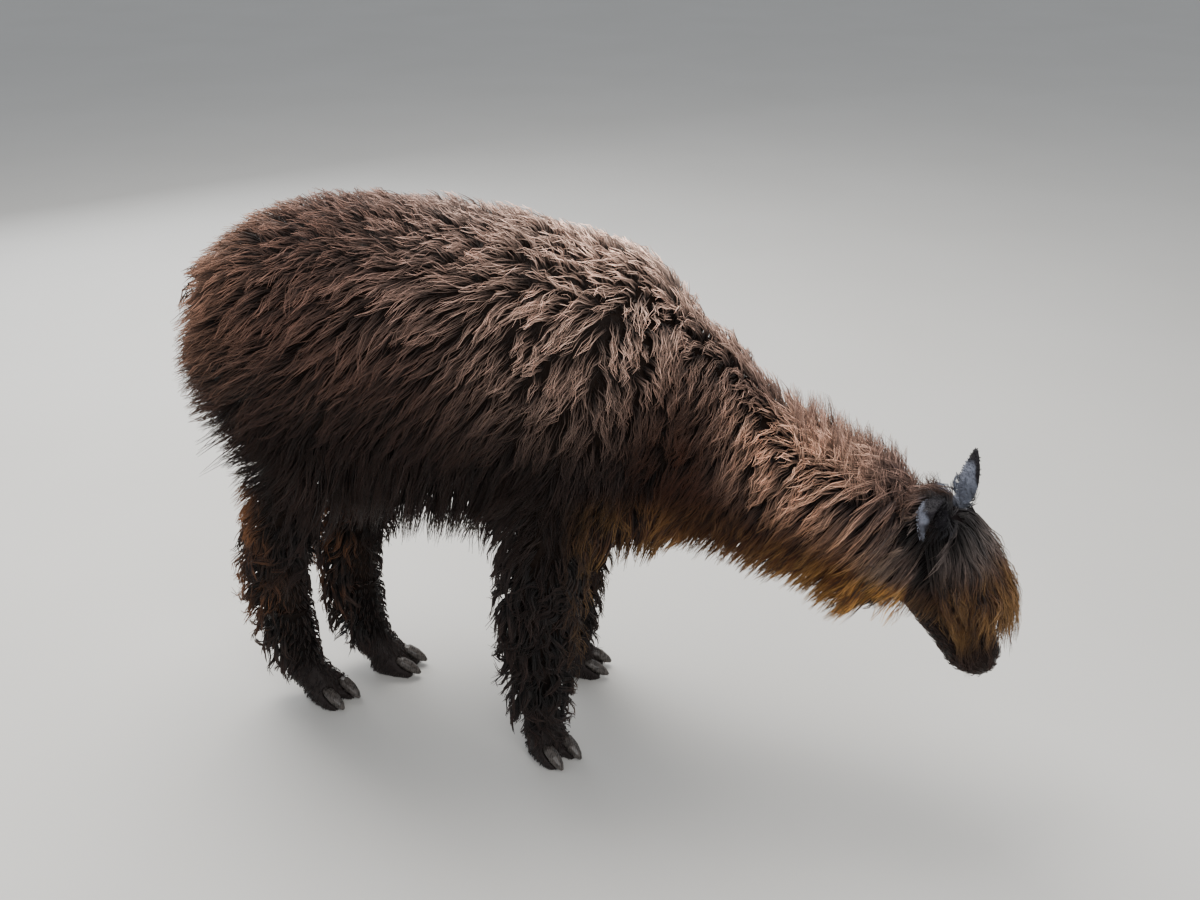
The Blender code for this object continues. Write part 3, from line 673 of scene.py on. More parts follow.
def line_mesh(name, spots, out, half_widths, owner, patches, tones):
    """Strand lines as a mesh of edges, with all that the wool needs stored on its points."""
    count, points = spots.shape[:2]
    mesh = bpy.data.meshes.new(name)
    mesh.vertices.add(count * points)
    first = (np.arange(count)[:, None] * points + np.arange(points - 1)).ravel()
    mesh.edges.add(len(first))
    mesh.edges.foreach_set("vertices", np.stack([first, first + 1], 1).astype(np.int32).ravel())
    whole = np.ones((count, points))
    for label, values in {
        "outward": out,
        "half_width": half_widths,
        "patch": patches[owner][:, None, :] * whole[..., None],
        "lock_tone": tones[owner][:, None] * whole,
        "strand_tone": dice.random(count)[:, None] * whole,
    }.items():
        kind, key = ("FLOAT_VECTOR", "vector") if values.ndim == 3 else ("FLOAT", "value")
        stored = mesh.attributes.new(label, kind, "POINT")
        stored.data.foreach_set(key, values.astype(np.float32).ravel())
    return moved(mesh, spots)


def node_group(name, kind, sockets):
    """A node tree with named sockets: the tree, its inputs and its output node."""
    group = bpy.data.node_groups.new(name, kind)
    for label, (way, sort) in sockets.items():
        group.interface.new_socket(name=label, in_out=way, socket_type="NodeSocket" + sort)
    return group, put(group, "NodeGroupInput").outputs, put(group, "NodeGroupOutput")


def strand_tree():
    """A node tree that gives strand lines their body: flat, ridged on top, and tapered."""
    group, given, made = node_group("wool_strands", "GeometryNodeTree", {
        "Lines": ("INPUT", "Geometry"), "Flatness": ("INPUT", "Float"),
        "Patch Size": ("INPUT", "Float"), "Finish": ("INPUT", "Material"),
        "Wool": ("OUTPUT", "Geometry"),
    })

    def read(name, kind="FLOAT"):
        node = put(group, "GeometryNodeInputNamedAttribute", {"Name": name}, data_type=kind)
        return next(socket for socket in node.outputs if socket.enabled and socket.name == "Attribute")

    def store(shape, name, value, kind="FLOAT", domain="POINT"):
        values = {"Geometry": shape, "Name": name, "Value": value}
        return put(group, "GeometryNodeStoreNamedAttribute", values, data_type=kind, domain=domain)

    # Each line becomes a curve that knows its outward side, its width and the way along it.
    curves = put(group, "GeometryNodeMeshToCurve", {"Mesh": given["Lines"]})
    values = {"Curve": curves, "Normal": read("outward", "FLOAT_VECTOR")}
    facing = put(group, "GeometryNodeSetCurveNormal", values, mode="FREE")
    wide = put(group, "GeometryNodeSetCurveRadius", {"Curve": facing, "Radius": read("half_width")})
    rails = store(wide, "along", put(group, "GeometryNodeSplineParameter"))
    # A flat triangle is swept along it.
    ring = put(group, "GeometryNodeCurvePrimitiveCircle", {"Resolution": 3, "Radius": 1.0})
    low = put(group, "ShaderNodeCombineXYZ", {0: 1.0, 1: given["Flatness"], 2: 1.0})
    flat = put(group, "GeometryNodeTransform", {"Geometry": ring, "Scale": low})
    position = put(group, "GeometryNodeInputPosition")
    profile = store(flat, "across", put(group, "ShaderNodeSeparateXYZ", {0: position}))
    values = {"Curve": rails, "Profile Curve": profile, "Fill Caps": True}
    solid = put(group, "GeometryNodeCurveToMesh", values)
    fill(solid, {"Scale": put(group, "GeometryNodeInputRadius")})
    # The strand lies on the coat's unwrap, within its lock's patch.
    share = put(group, "ShaderNodeCombineXYZ", {0: read("along"), 1: Amount(read("across")) * 0.5})
    scaled = put(group, "ShaderNodeVectorMath", {0: share, 3: given["Patch Size"]}, operation="SCALE")
    values = {0: scaled, 1: read("patch", "FLOAT_VECTOR")}
    spot = put(group, "ShaderNodeVectorMath", values, operation="ADD")
    mapped = store(solid, "OFBake", spot, "FLOAT2", "CORNER")
    real = put(group, "GeometryNodeRealizeInstances", {"Geometry": mapped})
    values = {"Geometry": real, "Material": given["Finish"]}
    fill(made, {"Wool": put(group, "GeometryNodeSetMaterial", values)})
    return group


STRANDS = strand_tree()


def shown(name, mesh, replaced=()):
    """A finished piece of the animal, which stands for those CAD nodes."""
    mesh.shade_smooth()
    piece = in_scene(name, mesh)
    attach(piece, "root")
    if replaced:
        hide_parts(*replaced)
    return piece


def wool_piece(name, lines, finish, flatness=0.45, replaced=()):
    """Strand lines made a solid piece of the coat."""
    carrier = in_scene(name + "_lines", lines)
    modifier = carrier.modifiers.new("strands", "NODES")
    modifier.node_group = STRANDS
    settings = {"Flatness": flatness, "Patch Size": PATCH, "Finish": finish}
    for socket in STRANDS.interface.items_tree:
        if socket.name in settings:
            modifier[socket.identifier] = settings[socket.name]
    graph = bpy.context.evaluated_depsgraph_get()
    mesh = bpy.data.meshes.new_from_object(carrier.evaluated_get(graph))
    mesh.name = name
    bpy.data.objects.remove(carrier)
    return shown(name, mesh, replaced)

# ------------------------------------------------------------------ the colours of hide and wool
# Brown wool, dark at the roots, goes golden under the neck and at the forelock's tips, near black on
# the legs and face, and dark with a slate grey sheen on the ears. Painted light lies on it: the
# dark roots are partly painted shade deep in the coat and partly the tips' real sun-bleaching, the
# top and many tips carry a painted highlight, the low sides painted shade, the crown and ears a
# painted sheen, and the gold under the neck is partly a painted glow of backlight. Hide and wool
# share it all, and under the wool the hide is painted nearly black as shade between the locks.


def paint(red, green, blue):
    """A colour given in display values from 0 to 255, as the renderer's own."""
    scaled = [value / 255 for value in (red, green, blue)]
    return tuple(v / 12.92 if v <= 0.04045 else ((v + 0.055) / 1.055) ** 2.4 for v in scaled) + (1.0,)


# The root colours are dark partly as painted shade deep in the coat, where little light reaches.
BODY_TIP, BODY_ROOT = paint(120, 90, 78), paint(36, 24, 20)
# The top's pale tip colour is a painted highlight, as if lit from above; the low and chest tip colours
# are painted shade on the lower sides.
SUNLIT_TOP_TIP, SHADED_LOW_TIP, SHADED_CHEST_TIP = paint(160, 131, 118), paint(44, 27, 20), paint(90, 55, 38)
SHOULDER_TIP, RUMP_TIP = paint(210, 176, 158), paint(136, 101, 83)
NECK_TIP, NECK_ROOT, CREST_TIP = paint(222, 178, 151), paint(42, 29, 29), paint(156, 125, 111)
# The bright gold tip is partly the wool's own colour and partly a painted glow of backlight shining
# through it.
GOLD_TIP, GOLD_MID = paint(236, 182, 102), paint(132, 82, 38)
# The poll's pale tip colour is a painted sheen of light on dark hair.
HEAD_TIP, HEAD_ROOT, POLL_SHEEN_TIP = paint(78, 57, 48), paint(24, 19, 19), paint(150, 136, 130)
LEG_TIP, LEG_ROOT, LEG_RUST = paint(46, 31, 26), paint(15, 11, 10), paint(150, 98, 60)
FACE_COLOUR, FOOT_COLOUR = paint(30, 22, 19), paint(44, 39, 38)
# The ears' pale slate colour is a painted sheen of light on their dark hair.
EAR_SHEEN, EAR_EDGE = paint(106, 110, 122), paint(32, 30, 33)
SHADE_UNDER_WOOL = (0.014, 0.009, 0.007, 1.0)  # painted shade: the hide under the wool, nearly black so that gaps between locks look shadowed
# Each ear carries a painted bluish sheen behind the front pair of numbers and below the last pair, and
# its own dark colour elsewhere.
EAR_SHEEN_LIMITS = [(0.624, 0.614, 0.592, 0.612), (0.550, 0.537, 0.590, 0.600)]

# Sloping lines along the neck, each a place and the direction up from it.
NECK_SLOPE = ((0.157, 0, 0.600), Vector((0.40, 0, 1)).normalized())
GOLD_SLOPE = ((0.157, 0, 0.590), Vector((0.33, 0, 1)).normalized())
CLOUDS, TINTS = 9.0, 60.0  # to the metre
LEFT_HIND_AHEAD = 0.09  # of the right one
SHOULDER_SHADE, NECK_SHADE = 0.025, 0.040  # how much higher the painted shade of the low wool reaches there
# How strongly the tips carry a painted highlight of sunlight: on the front of the trunk, on the top, and
# a little everywhere outside the low painted shade.
FRONT_HIGHLIGHT, TOP_HIGHLIGHT, HIGHLIGHT_BASE = 0.50, 0.40, 0.50
GOLD_BASE, GOLD_TO_HEAD, CHEST_GOLD, FRINGE_GOLD = 0.45, 0.75, 0.21, 0.31
MARKINGS_AT = {
    # name: (what it is measured by, where it starts, where it is full)
    "rump": ("x", -0.44, -0.62),
    "back": ("x", -0.42, -0.20),
    "shoulder": ("x", -0.24, 0.0),
    "highlit": ("x", -0.22, 0.02),
    "under_chest": ("x", -0.02, 0.06),
    "neck_start": ("x", 0.02, 0.14),
    "chest": ("x", 0.04, 0.18),
    "neck": ("x", 0.18, 0.30),
    "golden_neck": ("x", 0.20, 0.40),
    "neck_end": ("x", 0.36, 0.48),
    "poll": ("x", 0.37, 0.50),
    "before_neck": ("x", 0.40, 0.48),
    "behind_neck": ("x", 0.22, 0.12),
    "upper": ("z", 0.72, 0.88),
    "fringe": ("z", 0.56, 0.47),
    "leg": ("z", 0.47, 0.36),
    "rust_low": ("z", 0.08, 0.32),
    "rust_high": ("z", 0.52, 0.43),
    "foot": ("z", 0.10, 0.05),
    "left": ("y", -0.01, 0.01),
    "crest": ("slope", 0.09, 0.14),
    "low_neck": ("slope", 0.04, -0.06),
    "low_flank": ("flank", 0.82, 0.53),
    "gold": ("under_neck", 0.0, -0.070),
    "gold_end": ("ahead", 0.08, 0.03),
    "head": ("ahead", -0.10, 0.0),
    "brow": ("down_face", 0.13, 0.05),
    "before_ears": ("down_face", -0.03, 0.02),
    "face": ("down_face", 0.08, 0.14),
    "forelock_end": ("down_face", 0.26, 0.20),
    "forelock": ("lock_face", 0.07, 0.20),
    "ears": ("above", 0.002, 0.016),
    "rusty": ("cloud", 0.34, 0.60),
    "rear": ("leg_back", -0.505, -0.585),
}


def ramp(value, start, end):
    """0 at start and 1 at end, smooth between, for an amount."""
    values = {"Value": value, "From Min": start, "From Max": end}
    node = put(value.tree, "ShaderNodeMapRange", values, interpolation_type="SMOOTHSTEP")
    return Amount(node.outputs["Result"])


def parts(place):
    """A place's x, y and z."""
    return [Amount(part) for part in put(place.id_data, "ShaderNodeSeparateXYZ", {0: place}).outputs]


def far_along(place, start, direction):
    """How far a place lies past a point, along a direction."""
    values = {0: place, 1: tuple(start)}
    away = put(place.id_data, "ShaderNodeVectorMath", values, operation="SUBTRACT")
    values = {0: away, 1: tuple(direction)}
    node = put(place.id_data, "ShaderNodeVectorMath", values, operation="DOT_PRODUCT")
    return Amount(node.outputs["Value"])


def dimmed(colour, tone):
    """A colour made brighter or darker by an amount."""
    return put(tone.tree, "ShaderNodeVectorMath", {0: colour, 3: tone}, operation="SCALE")


def markings_tree():
    """Where each colour lies on the animal: the tips' and the roots' colours at a place."""
    group, given, made = node_group("markings", "ShaderNodeTree", {
        "Place": ("INPUT", "Vector"), "Patchiness": ("INPUT", "Float"), "Tip": ("OUTPUT", "Color"),
        "Root": ("OUTPUT", "Color"), "Gold": ("OUTPUT", "Float"), "Highlight": ("OUTPUT", "Float"),
    })
    place = given["Place"]
    x, y, z = parts(place)
    cloud = mottled(place, CLOUDS, 3.0)
    patchy = cloud * given["Patchiness"]
    down_face = far_along(place, poll, head_along)
    measures = {
        "x": x, "y": y, "z": z, "cloud": cloud,
        "slope": far_along(place, *NECK_SLOPE),
        "under_neck": far_along(place, *GOLD_SLOPE) + patchy,
        "ahead": far_along(place, poll, head_along + head_above * 0.90),
        "above": far_along(place, poll, head_above),
        "down_face": down_face, "lock_face": down_face + patchy,
    }

    def on(marking):
        measure, start, full = MARKINGS_AT[marking]
        return ramp(measures[measure], start, full)

    neck, head, upper = on("neck"), on("head") * on("before_neck"), on("upper") * on("back")
    tip = blended(on("rump"), BODY_TIP, RUMP_TIP)
    # The top of the back is painted lighter, as if lit from above.
    tip = blended(upper, tip, SUNLIT_TOP_TIP)
    tip = blended(on("shoulder"), tip, SHOULDER_TIP)
    crest = on("crest").most(on("poll"))
    tip = blended(neck, tip, blended(crest, NECK_TIP, CREST_TIP))
    # The low wool is darker: painted shade on the sides below the light. The painted shade reaches
    # higher on the shoulder, and higher still where the neck begins.
    measures["flank"] = z - (on("shoulder") * SHOULDER_SHADE + on("neck_start") * NECK_SHADE)
    low = on("low_flank") * (1 - neck) + on("low_neck") * neck
    tip = blended(low, tip, blended(on("chest"), SHADED_LOW_TIP, SHADED_CHEST_TIP))
    # A painted highlight of sunlight on the tips, none in the low painted shade.
    highlight = (on("highlit") * FRONT_HIGHLIGHT * (1 - crest * neck)).most(upper * TOP_HIGHLIGHT)
    highlight = (highlight + HIGHLIGHT_BASE) * (1 - low)
    root = blended(neck, BODY_ROOT, NECK_ROOT)
    # The neck's wool is golden underneath, more so towards the head: partly its own colour, partly a
    # painted glow of backlight shining through it. So are the ends of the fringe under the chest, more
    # faintly, and the forelock's tips.
    gold = on("gold") * on("golden_neck") * (on("neck_end") * GOLD_TO_HEAD + GOLD_BASE)
    gold = gold.most(on("fringe") * on("under_chest") * CHEST_GOLD)
    forelock = on("forelock") * head * on("forelock_end") * FRINGE_GOLD
    gold = gold * on("gold_end") + forelock
    # The crown before the ears carries a painted grey sheen on its dark hair.
    tip = blended(head, tip, blended(on("brow") * on("before_ears"), HEAD_TIP, POLL_SHEEN_TIP))
    root = blended(head, root, HEAD_ROOT)

    # Legs, with rusty patches up their backs. The left hind foot stands ahead of the right one.
    leg = on("leg") * on("behind_neck")
    tip = blended(leg, tip, LEG_TIP)
    root = blended(leg, root, LEG_ROOT)
    measures["leg_back"] = x - on("left") * LEFT_HIND_AHEAD
    rust = on("rusty") * on("rust_low") * on("rear") * on("rust_high")
    tip = blended(rust, tip, LEG_RUST)

    # Close dark hair on face and feet, and dark ears with a painted slate grey sheen.
    root = blended(on("face") * head, root, FACE_COLOUR)
    root = blended(on("foot"), root, FOOT_COLOUR)
    tint = (mottled(place, TINTS) - 0.5) * 0.03
    for ear, (front, rear, low_line, high_line) in zip(EARS, EAR_SHEEN_LIMITS):
        low_end, high_end = (np.array(corner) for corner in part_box(ear))
        centre, reach = (low_end + high_end) / 2, float(np.linalg.norm(high_end - low_end)) / 2
        away = put(group, "ShaderNodeVectorMath", {0: place, 1: tuple(centre)}, operation="DISTANCE")
        share = ramp(Amount(away.outputs["Value"]), reach * 1.05, reach * 0.75) * on("ears")
        ear_sheen = ramp(x + tint, front, rear) * ramp(z + tint, high_line, low_line)
        shade = blended(ear_sheen, EAR_EDGE, EAR_SHEEN)
        root = blended(share, root, shade)
        tip = blended(share, tip, shade)
    fill(made, {"Tip": tip, "Root": root, "Gold": gold, "Highlight": highlight * (1 - leg.most(head))})
    return group


MARKINGS = markings_tree()
PATCHINESS = 0.05  # how far one lock's gold starts from another's, in metres
LOCK_TONE, STRAND_TONE, STREAK_TONE, TONE_BASE = 0.60, 0.90, 0.60, 0.03
# How far the painted highlight brightens the tips.
TIP_SHINE = 2.0
WOOL_BUMP, HIDE_BUMP = 0.0012, 0.0014


def wool_material(name, gilding):
    """Wool: dark roots, paler tips (partly painted shade deep in the coat, partly real sun-bleaching),
    each lock and strand with its own tone, and fine streaks.
    """
    made, tree, shader = new_material(name)
    along, across, lock, strand = (
        Amount(put(tree, "ShaderNodeAttribute", attribute_name=stored).outputs["Fac"])
        for stored in ("along", "across", "lock_tone", "strand_tone")
    )
    values = {"Place": object_place(tree), "Patchiness": lock * PATCHINESS}
    marks = put(tree, "ShaderNodeGroup", node_tree=MARKINGS)
    fill(marks, values)
    # Dark roots to paler tips: partly painted shade deep in the coat, partly the tips' real
    # sun-bleaching.
    colour = blended(ramp(along, 0.15, 1.0), marks.outputs["Root"], marks.outputs["Tip"])
    # Gold shows in the outer half, on most locks.
    gilded = ramp(along, 0.12, 0.65) * gilding * marks.outputs["Gold"] * ramp(lock + strand, 0.25, 1.05)
    colour = blended(gilded, colour, blended(ramp(along, 0.5, 1.0), GOLD_MID, GOLD_TIP))
    # Fine streaks run the length of each strand, and on some strands the tips carry a painted highlight
    # of sunlight.
    grooves = put(tree, "ShaderNodeCombineXYZ", {0: along * 1.5, 1: across * 2.6, 2: strand * 70.0})
    streak = mottled(grooves.outputs[0], 1.6)
    tone = lock * LOCK_TONE + strand * STRAND_TONE + streak * STREAK_TONE - TONE_BASE
    shine = ramp(along, 0.45, 1.0) * ramp(strand, 0.35, 0.90) * marks.outputs["Highlight"] * TIP_SHINE
    bump = put(tree, "ShaderNodeBump", {"Height": streak, "Distance": WOOL_BUMP, "Strength": 0.5})
    fill(shader, {
        "Base Color": dimmed(colour, tone * (shine + 1.0)), "Normal": bump, "Roughness": 0.62,
        "Specular IOR Level": 0.30, "Sheen Weight": 0.05, "Sheen Roughness": 0.5,
    })
    return made


def hide_material():
    """Skin with short flat hair, close and velvety on the face, ears and feet."""
    made, tree, shader = new_material("short_haired_hide")
    place = object_place(tree)
    x, _, z = parts(place)
    marks = put(tree, "ShaderNodeGroup", node_tree=MARKINGS)
    fill(marks, {"Place": place})
    # Under the wool the hide is painted nearly black, as shade in the gaps between locks; where the hair
    # is short it shows the hair's colour.
    face = ramp(far_along(place, poll, head_along), 0.0, 0.05) * ramp(x, 0.42, 0.50)
    ears = ramp(far_along(place, poll, head_above), 0.015, 0.03) * ramp(x, 0.50, 0.53)
    short = face.most(ears).most(ramp(z, 0.24, 0.16))
    colour = blended(short, SHADE_UNDER_WOOL, marks.outputs["Root"])
    hairs, clumps = mottled(place, 620.0, 2.0, 0.6), mottled(place, 120.0, 3.0)
    bump = put(tree, "ShaderNodeBump", {"Height": hairs + clumps, "Distance": HIDE_BUMP, "Strength": 0.7})
    fill(shader, {
        "Base Color": dimmed(colour, hairs * 0.7 + clumps + 0.15), "Normal": bump,
        "Roughness": ramp(clumps, 0.9, -1.0), "Specular IOR Level": 0.05,
    })
    return made


hide.materials.append(hide_material())
shown("skin", hide, FLESH + EARS + LEG_LENGTHS + FEET)

# ------------------------------------------------------------------ the coat, region by region
# Each region is its own piece of wool, rooted on the same hide. The flank's long locks sweep down
# and back, the back is short and tousled, neck and belly end in a fringe, and the legs curl.

CANDIDATES = 260000
OFF_FLOOR = 0.0006
roots, facings = scattered(hide, CANDIDATES)
roots_x, roots_y, roots_z = roots.T

# Each region's locks: how far apart, how long, how much of the wool's height they reach, how far
# they may pass its outline, how far they turn from the lie, how far they gather into tufts, then
# their look, and how unevenly they lie over each other.
COLUMNS = ["gap", "length", "lift", "beyond", "stray", "pull"] + LOOKS + ["layers"]
REGIONS = {
    "back": [.0125, .064, .95, .006, .50, .25, .0085, .45, .0036, .034, .0026, .0013, .003, .25],
    "rump": [.0138, .090, .98, .006, .25, .28, .0085, .55, .0032, .042, .0021, .0013, .001, .15],
    "flank": [.0150, .105, 1.0, .010, .18, .28, .0085, .65, .0034, .048, .0019, .0013, .001, .15],
    "shoulder": [.0135, .085, 1.0, .010, .20, .42, .0080, .60, .0038, .036, .0021, .0013, .002, .25],
    "belly": [.0168, .200, 1.0, .055, .08, .30, .0105, .66, .0022, .060, .0014, .0023, .000, .50],
    "neck": [.0120, .085, 1.0, .006, .16, .30, .0080, .62, .0032, .036, .0018, .0012, .001, .30],
    "nape": [.0115, .070, 1.0, .012, .18, .15, .0080, .50, .0032, .036, .0026, .0012, .003, .35],
    "throat": [.0120, .115, 1.05, .014, .12, .35, .0078, .70, .0026, .048, .0015, .0014, .0, .35],
    "neck_end": [.0105, .165, 1.05, .022, .10, .35, .0068, .66, .0028, .066, .0014, .0011, .0, .30],
    "leg": [.0142, .092, 1.22, .028, .85, .10, .0066, .86, .0098, .058, .0006, .0024, .018, .72],
    "shin": [.0092, .026, .45, .004, .20, .00, .0048, .50, .0006, .030, .0006, .0015, .0, .0],
    "foot": [.0085, .018, .60, .004, .25, .00, .0040, .40, .0003, .030, .0006, .0013, .0, .0],
    "tail": [.0115, .100, .95, .000, .10, .30, .0090, .70, .0030, .050, .0016, .0016, .0, .40],
    "crown": [.0062, .170, 1.0, .015, .07, .32, .0048, .48, .0036, .070, .0012, .0009, .0, .20],
    "cheek": [.0078, .085, 1.40, .024, .22, .25, .0060, .60, .0030, .060, .0014, .0009, .004, .40],
    "face": [.0060, .014, .55, .006, .25, .00, .0030, .40, .0002, .030, .0004, .0006, .0, .0],
    "ear": [.0036, .012, .42, .006, .20, .00, .0020, .40, .0002, .030, .0003, .0005, .0, .0],
}
# Low on the legs the locks are shorter and lie closer, by these shares.
LOW_ON_LEG = (0.26, 0.12)
LESS_LOW_DOWN = {"length": 0.15, "lift": 0.15, "beyond": 0.45, "flick": 0.40}


def region_weights(places, normals):
    """How far each place belongs to each region."""
    x, y, z = places.T
    ahead, across, above = head_places(places).T
    ear = np.maximum(*(in_box(places, ear, 0.004, -0.004) for ear in EARS))
    skull = head_share(places) * (1 - ear)
    crown = fade(ahead, 0.126, 0.108) * fade(above, -0.010, 0.006) * skull
    cheek = (skull - crown) * fade(ahead, 0.150, 0.120) * fade(above, -0.075, -0.055)
    tail = in_box(places, "tail", 0.0, -0.006) * fade(x, -0.61, -0.64) * fade(np.abs(y), 0.045, 0.032)
    tail *= fade(z, 0.82, 0.76)
    low = fade(z, 0.46, 0.36) * fade(x, 0.20, 0.12)
    foot = fade(z, 0.060, 0.045) * low
    hind = fade(x, -0.20, -0.30)
    shin = low * (1 - foot) * fade(z, 0.36, 0.29) * fade(normals[:, 0] - 2 * (1 - hind), -0.40, 0.0)
    shin = np.maximum(shin, (low - foot) * fade(z, 0.095, 0.065))
    leg = np.maximum(low - foot - shin, 0)
    rest = (1 - skull) * (1 - ear) * (1 - low) * (1 - tail)
    neck_share = fade(x, 0.13, 0.21) * rest
    top, under = fade(normals[:, 2], 0.50, 0.88), fade(normals[:, 2], -0.30, -0.75)
    end = fade(x, 0.40, 0.47) * neck_share * (1 - top)
    trunk = rest - neck_share
    rump, shoulder = fade(x, -0.40, -0.56), fade(x, -0.16, -0.02)
    belly = trunk * under * fade(x, -0.62, -0.50)
    side = trunk * (1 - top) - belly
    return {
        "back": trunk * top, "rump": side * rump, "belly": belly,
        "shoulder": side * shoulder, "flank": side * (1 - rump - shoulder),
        "nape": neck_share * top, "throat": (neck_share - end) * under * (1 - top),
        "neck": (neck_share - end) * (1 - top) * (1 - under), "neck_end": end,
        "leg": leg, "shin": shin, "foot": foot, "tail": tail,
        "crown": crown, "cheek": cheek, "face": skull - crown - cheek, "ear": ear,
    }


shares_of = region_weights(roots, facings)
weight_rows = np.stack([shares_of[name] for name in REGIONS], 1)
weight_rows = weight_rows / weight_rows.sum(1, keepdims=True)
values_of = dict(zip(COLUMNS, (weight_rows @ np.array(list(REGIONS.values()))).T))
main_region = weight_rows.argmax(1)
for name, less in LESS_LOW_DOWN.items():
    values_of[name] = values_of[name] * (1 - less * fade(roots_z, *LOW_ON_LEG))

# Partings: their half width, where they end and are full, the least and most that hair fans out
# from them, and how steeply it falls on the sides and less on the crest.
TRUNK_PARTING = (0.07, 0.11, 0.02, 0.08, 1.6, -0.78, 0.66)
NECK_PARTING = (0.04, 0.065, 0.015, 0.04, 1.2, -0.90, 0.80)
NECK_ASIDE = -0.072  # how far to the right the bent neck's far end lies


def neck_middle(x):
    """Where the middle of the neck lies, across the animal."""
    return NECK_ASIDE * fade(x, 0.15, 0.60)


def ear_axis(ear):
    """The direction from an ear's base to its tip."""
    spots = vectors(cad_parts[ear].data.vertices, "co")
    centre = spots.mean(0)
    long_way = np.linalg.svd(spots - centre)[2][0]
    return long_way * np.sign(long_way @ (centre - np.array(poll)))


EAR_AXES = [ear_axis(ear) for ear in EARS]


def parted(off_middle, up, back, parting):
    """Hair that falls down and back to both sides of a parting, and how near the crest it is."""
    half, end, full, least, most, fall, less = parting
    crest = np.maximum(fade(up, 0.45, 0.95), fade(np.abs(off_middle), end, full) * fade(up, 0.0, 0.35))
    fan = least + most * crest * (1 - crest)
    way = [-back - 0.6 * crest, np.tanh(off_middle / half) * fan, fall + less * crest]
    return np.stack(way, 1), crest


def lie(places, facing, only=None):
    """The way the coat falls at a place, or how the wool of one region falls there."""
    x, y, z = places.T
    shares = {only: np.ones(len(x))} if only else region_weights(places, facing)
    one = np.ones(len(x))
    # The trunk's hair is steep at the shoulder and flat at the rump.
    rump, shoulder = fade(x, -0.35, -0.60), fade(x, -0.14, 0.06)
    back = 0.66 + 0.30 * rump - 0.30 * shoulder
    trunk_way, crest = parted(y, facing[:, 2], back, TRUNK_PARTING)
    trunk_way[:, 2] += 0.20 * rump * (1 - crest)
    back = 0.50 + 0.28 * fade(x, 0.20, 0.38) - 0.34 * fade(x, 0.44, 0.54)
    off_middle = y - neck_middle(x)
    neck_way, _ = parted(off_middle, facing[:, 2], back, NECK_PARTING)
    leg_way = np.stack([-0.20 + 0.10 * facing[:, 0], 0.16 * facing[:, 1], -one], 1)
    # Head: a fan from the poll over the brow, then straight down.
    ahead, across, above = head_places(places).T
    brow = fade(ahead, 0.20, 0.02)[:, None]
    crown_way = (
        np.array(head_along) * (0.95 - 0.25 * brow) + np.outer(across * 6.0, head_across) * brow
        + np.array((-0.10, 0, -0.55)) * (1 - 0.7 * brow)
    )
    to_ears = [np.linalg.norm(places - np.array(middle(ear)), axis=1) for ear in EARS]
    ways = {
        "tail": np.stack([-0.12 * one, 0.25 * np.sign(y), -one], 1),
        "belly": np.stack([-0.16 * one, 0.04 * np.sign(y), -one], 1),
        "leg": leg_way, "shin": leg_way, "foot": leg_way,
        "crown": crown_way,
        "face": np.outer(one, np.array((0, 0, -0.2)) - np.array(head_along)),
        "ear": np.where((to_ears[0] < to_ears[1])[:, None], *EAR_AXES),
        "cheek": np.stack([-0.50 * one, 0.15 * np.sign(across), -one], 1),
        "neck": neck_way, "nape": neck_way, "throat": neck_way, "neck_end": neck_way,
        "wisp": np.stack([-0.20 * one, 0.30 * np.tanh(off_middle / NECK_PARTING[0]), one], 1),
    }
    total = np.zeros((len(x), 3))
    for name, share in shares.items():
        total += share[:, None] * unit(ways.get(name, trunk_way))
    return unit(total)


# The skin's unwrap: each bone's hide rolled flat, in its own corner of the square. A roll is the
# bone's start and end, its place in the square, and the height of its turn.
ROLL_TOP = 0.40
ROLLS = {
    "trunk": ((-0.74, 0.0, 0.68), (0.22, 0.0, 0.68), (0.01, 0.01), 0.47),
    "neck": ((0.10, 0.0, 0.66), (0.60, -0.085, 0.50), (0.01, 0.50), 0.30),
    "head": (tuple(poll - head_along * 0.06), tuple(poll + head_along * 0.32), (0.42, 0.50), 0.20),
    "tail": ((-0.66, 0.0, 0.88), (-0.66, 0.0, 0.54), (0.42, 0.73), 0.14),
    "hind_left": ((-0.55, 0.1, ROLL_TOP), (-0.50, 0.1, 0.0), (0.74, 0.01), 0.20),
    "hind_right": ((-0.55, -0.1, ROLL_TOP), (-0.50, -0.1, 0.0), (0.74, 0.23), 0.20),
    "fore_left": ((-0.05, 0.1, ROLL_TOP), (-0.02, 0.1, 0.0), (0.74, 0.45), 0.20),
    "fore_right": ((-0.05, -0.1, ROLL_TOP), (-0.02, -0.1, 0.0), (0.74, 0.67), 0.20),
}
UNWRAP_SCALE = 0.56


def unwrapped(places):
    """Each place's spot on the unwrap of the skin."""
    x, y, z = places.T
    tail = (in_box(places, "tail", 0.0, -0.006) > 0.5) & (x < -0.62) & (np.abs(y) < 0.04)
    leg = np.where(x < -0.25, 4, 6) + (y < 0)
    kinds = [(z < ROLL_TOP) & (x < 0.16), head_share(places) > 0.5, tail, x > 0.16]
    roll = np.select(kinds, [leg, 2, 3, 1], 0)
    spots = np.zeros((len(places), 3))
    for index, (start, end, corner, height) in enumerate(ROLLS.values()):
        here = roll == index
        bone = np.array(end) - np.array(start)
        length = np.linalg.norm(bone)
        bone = bone / length
        upright = np.array((1.0, 0, 0)) if abs(bone[2]) > 0.7 else np.array((0, 0, 1.0))
        first = unit(np.cross(bone, upright))
        second = np.cross(bone, first)
        away = places[here] - np.array(start)
        share = np.clip(away @ bone / length, 0, 1)
        angle = np.arctan2(away @ second, away @ first) / (2 * math.pi) + 0.5
        spots[here, 0] = corner[0] + share * length * UNWRAP_SCALE
        spots[here, 1] = corner[1] + angle * height
    return spots


WOOL = wool_material("wool", 1.0)
SHORT_HAIR = wool_material("short_hair", 0.0)


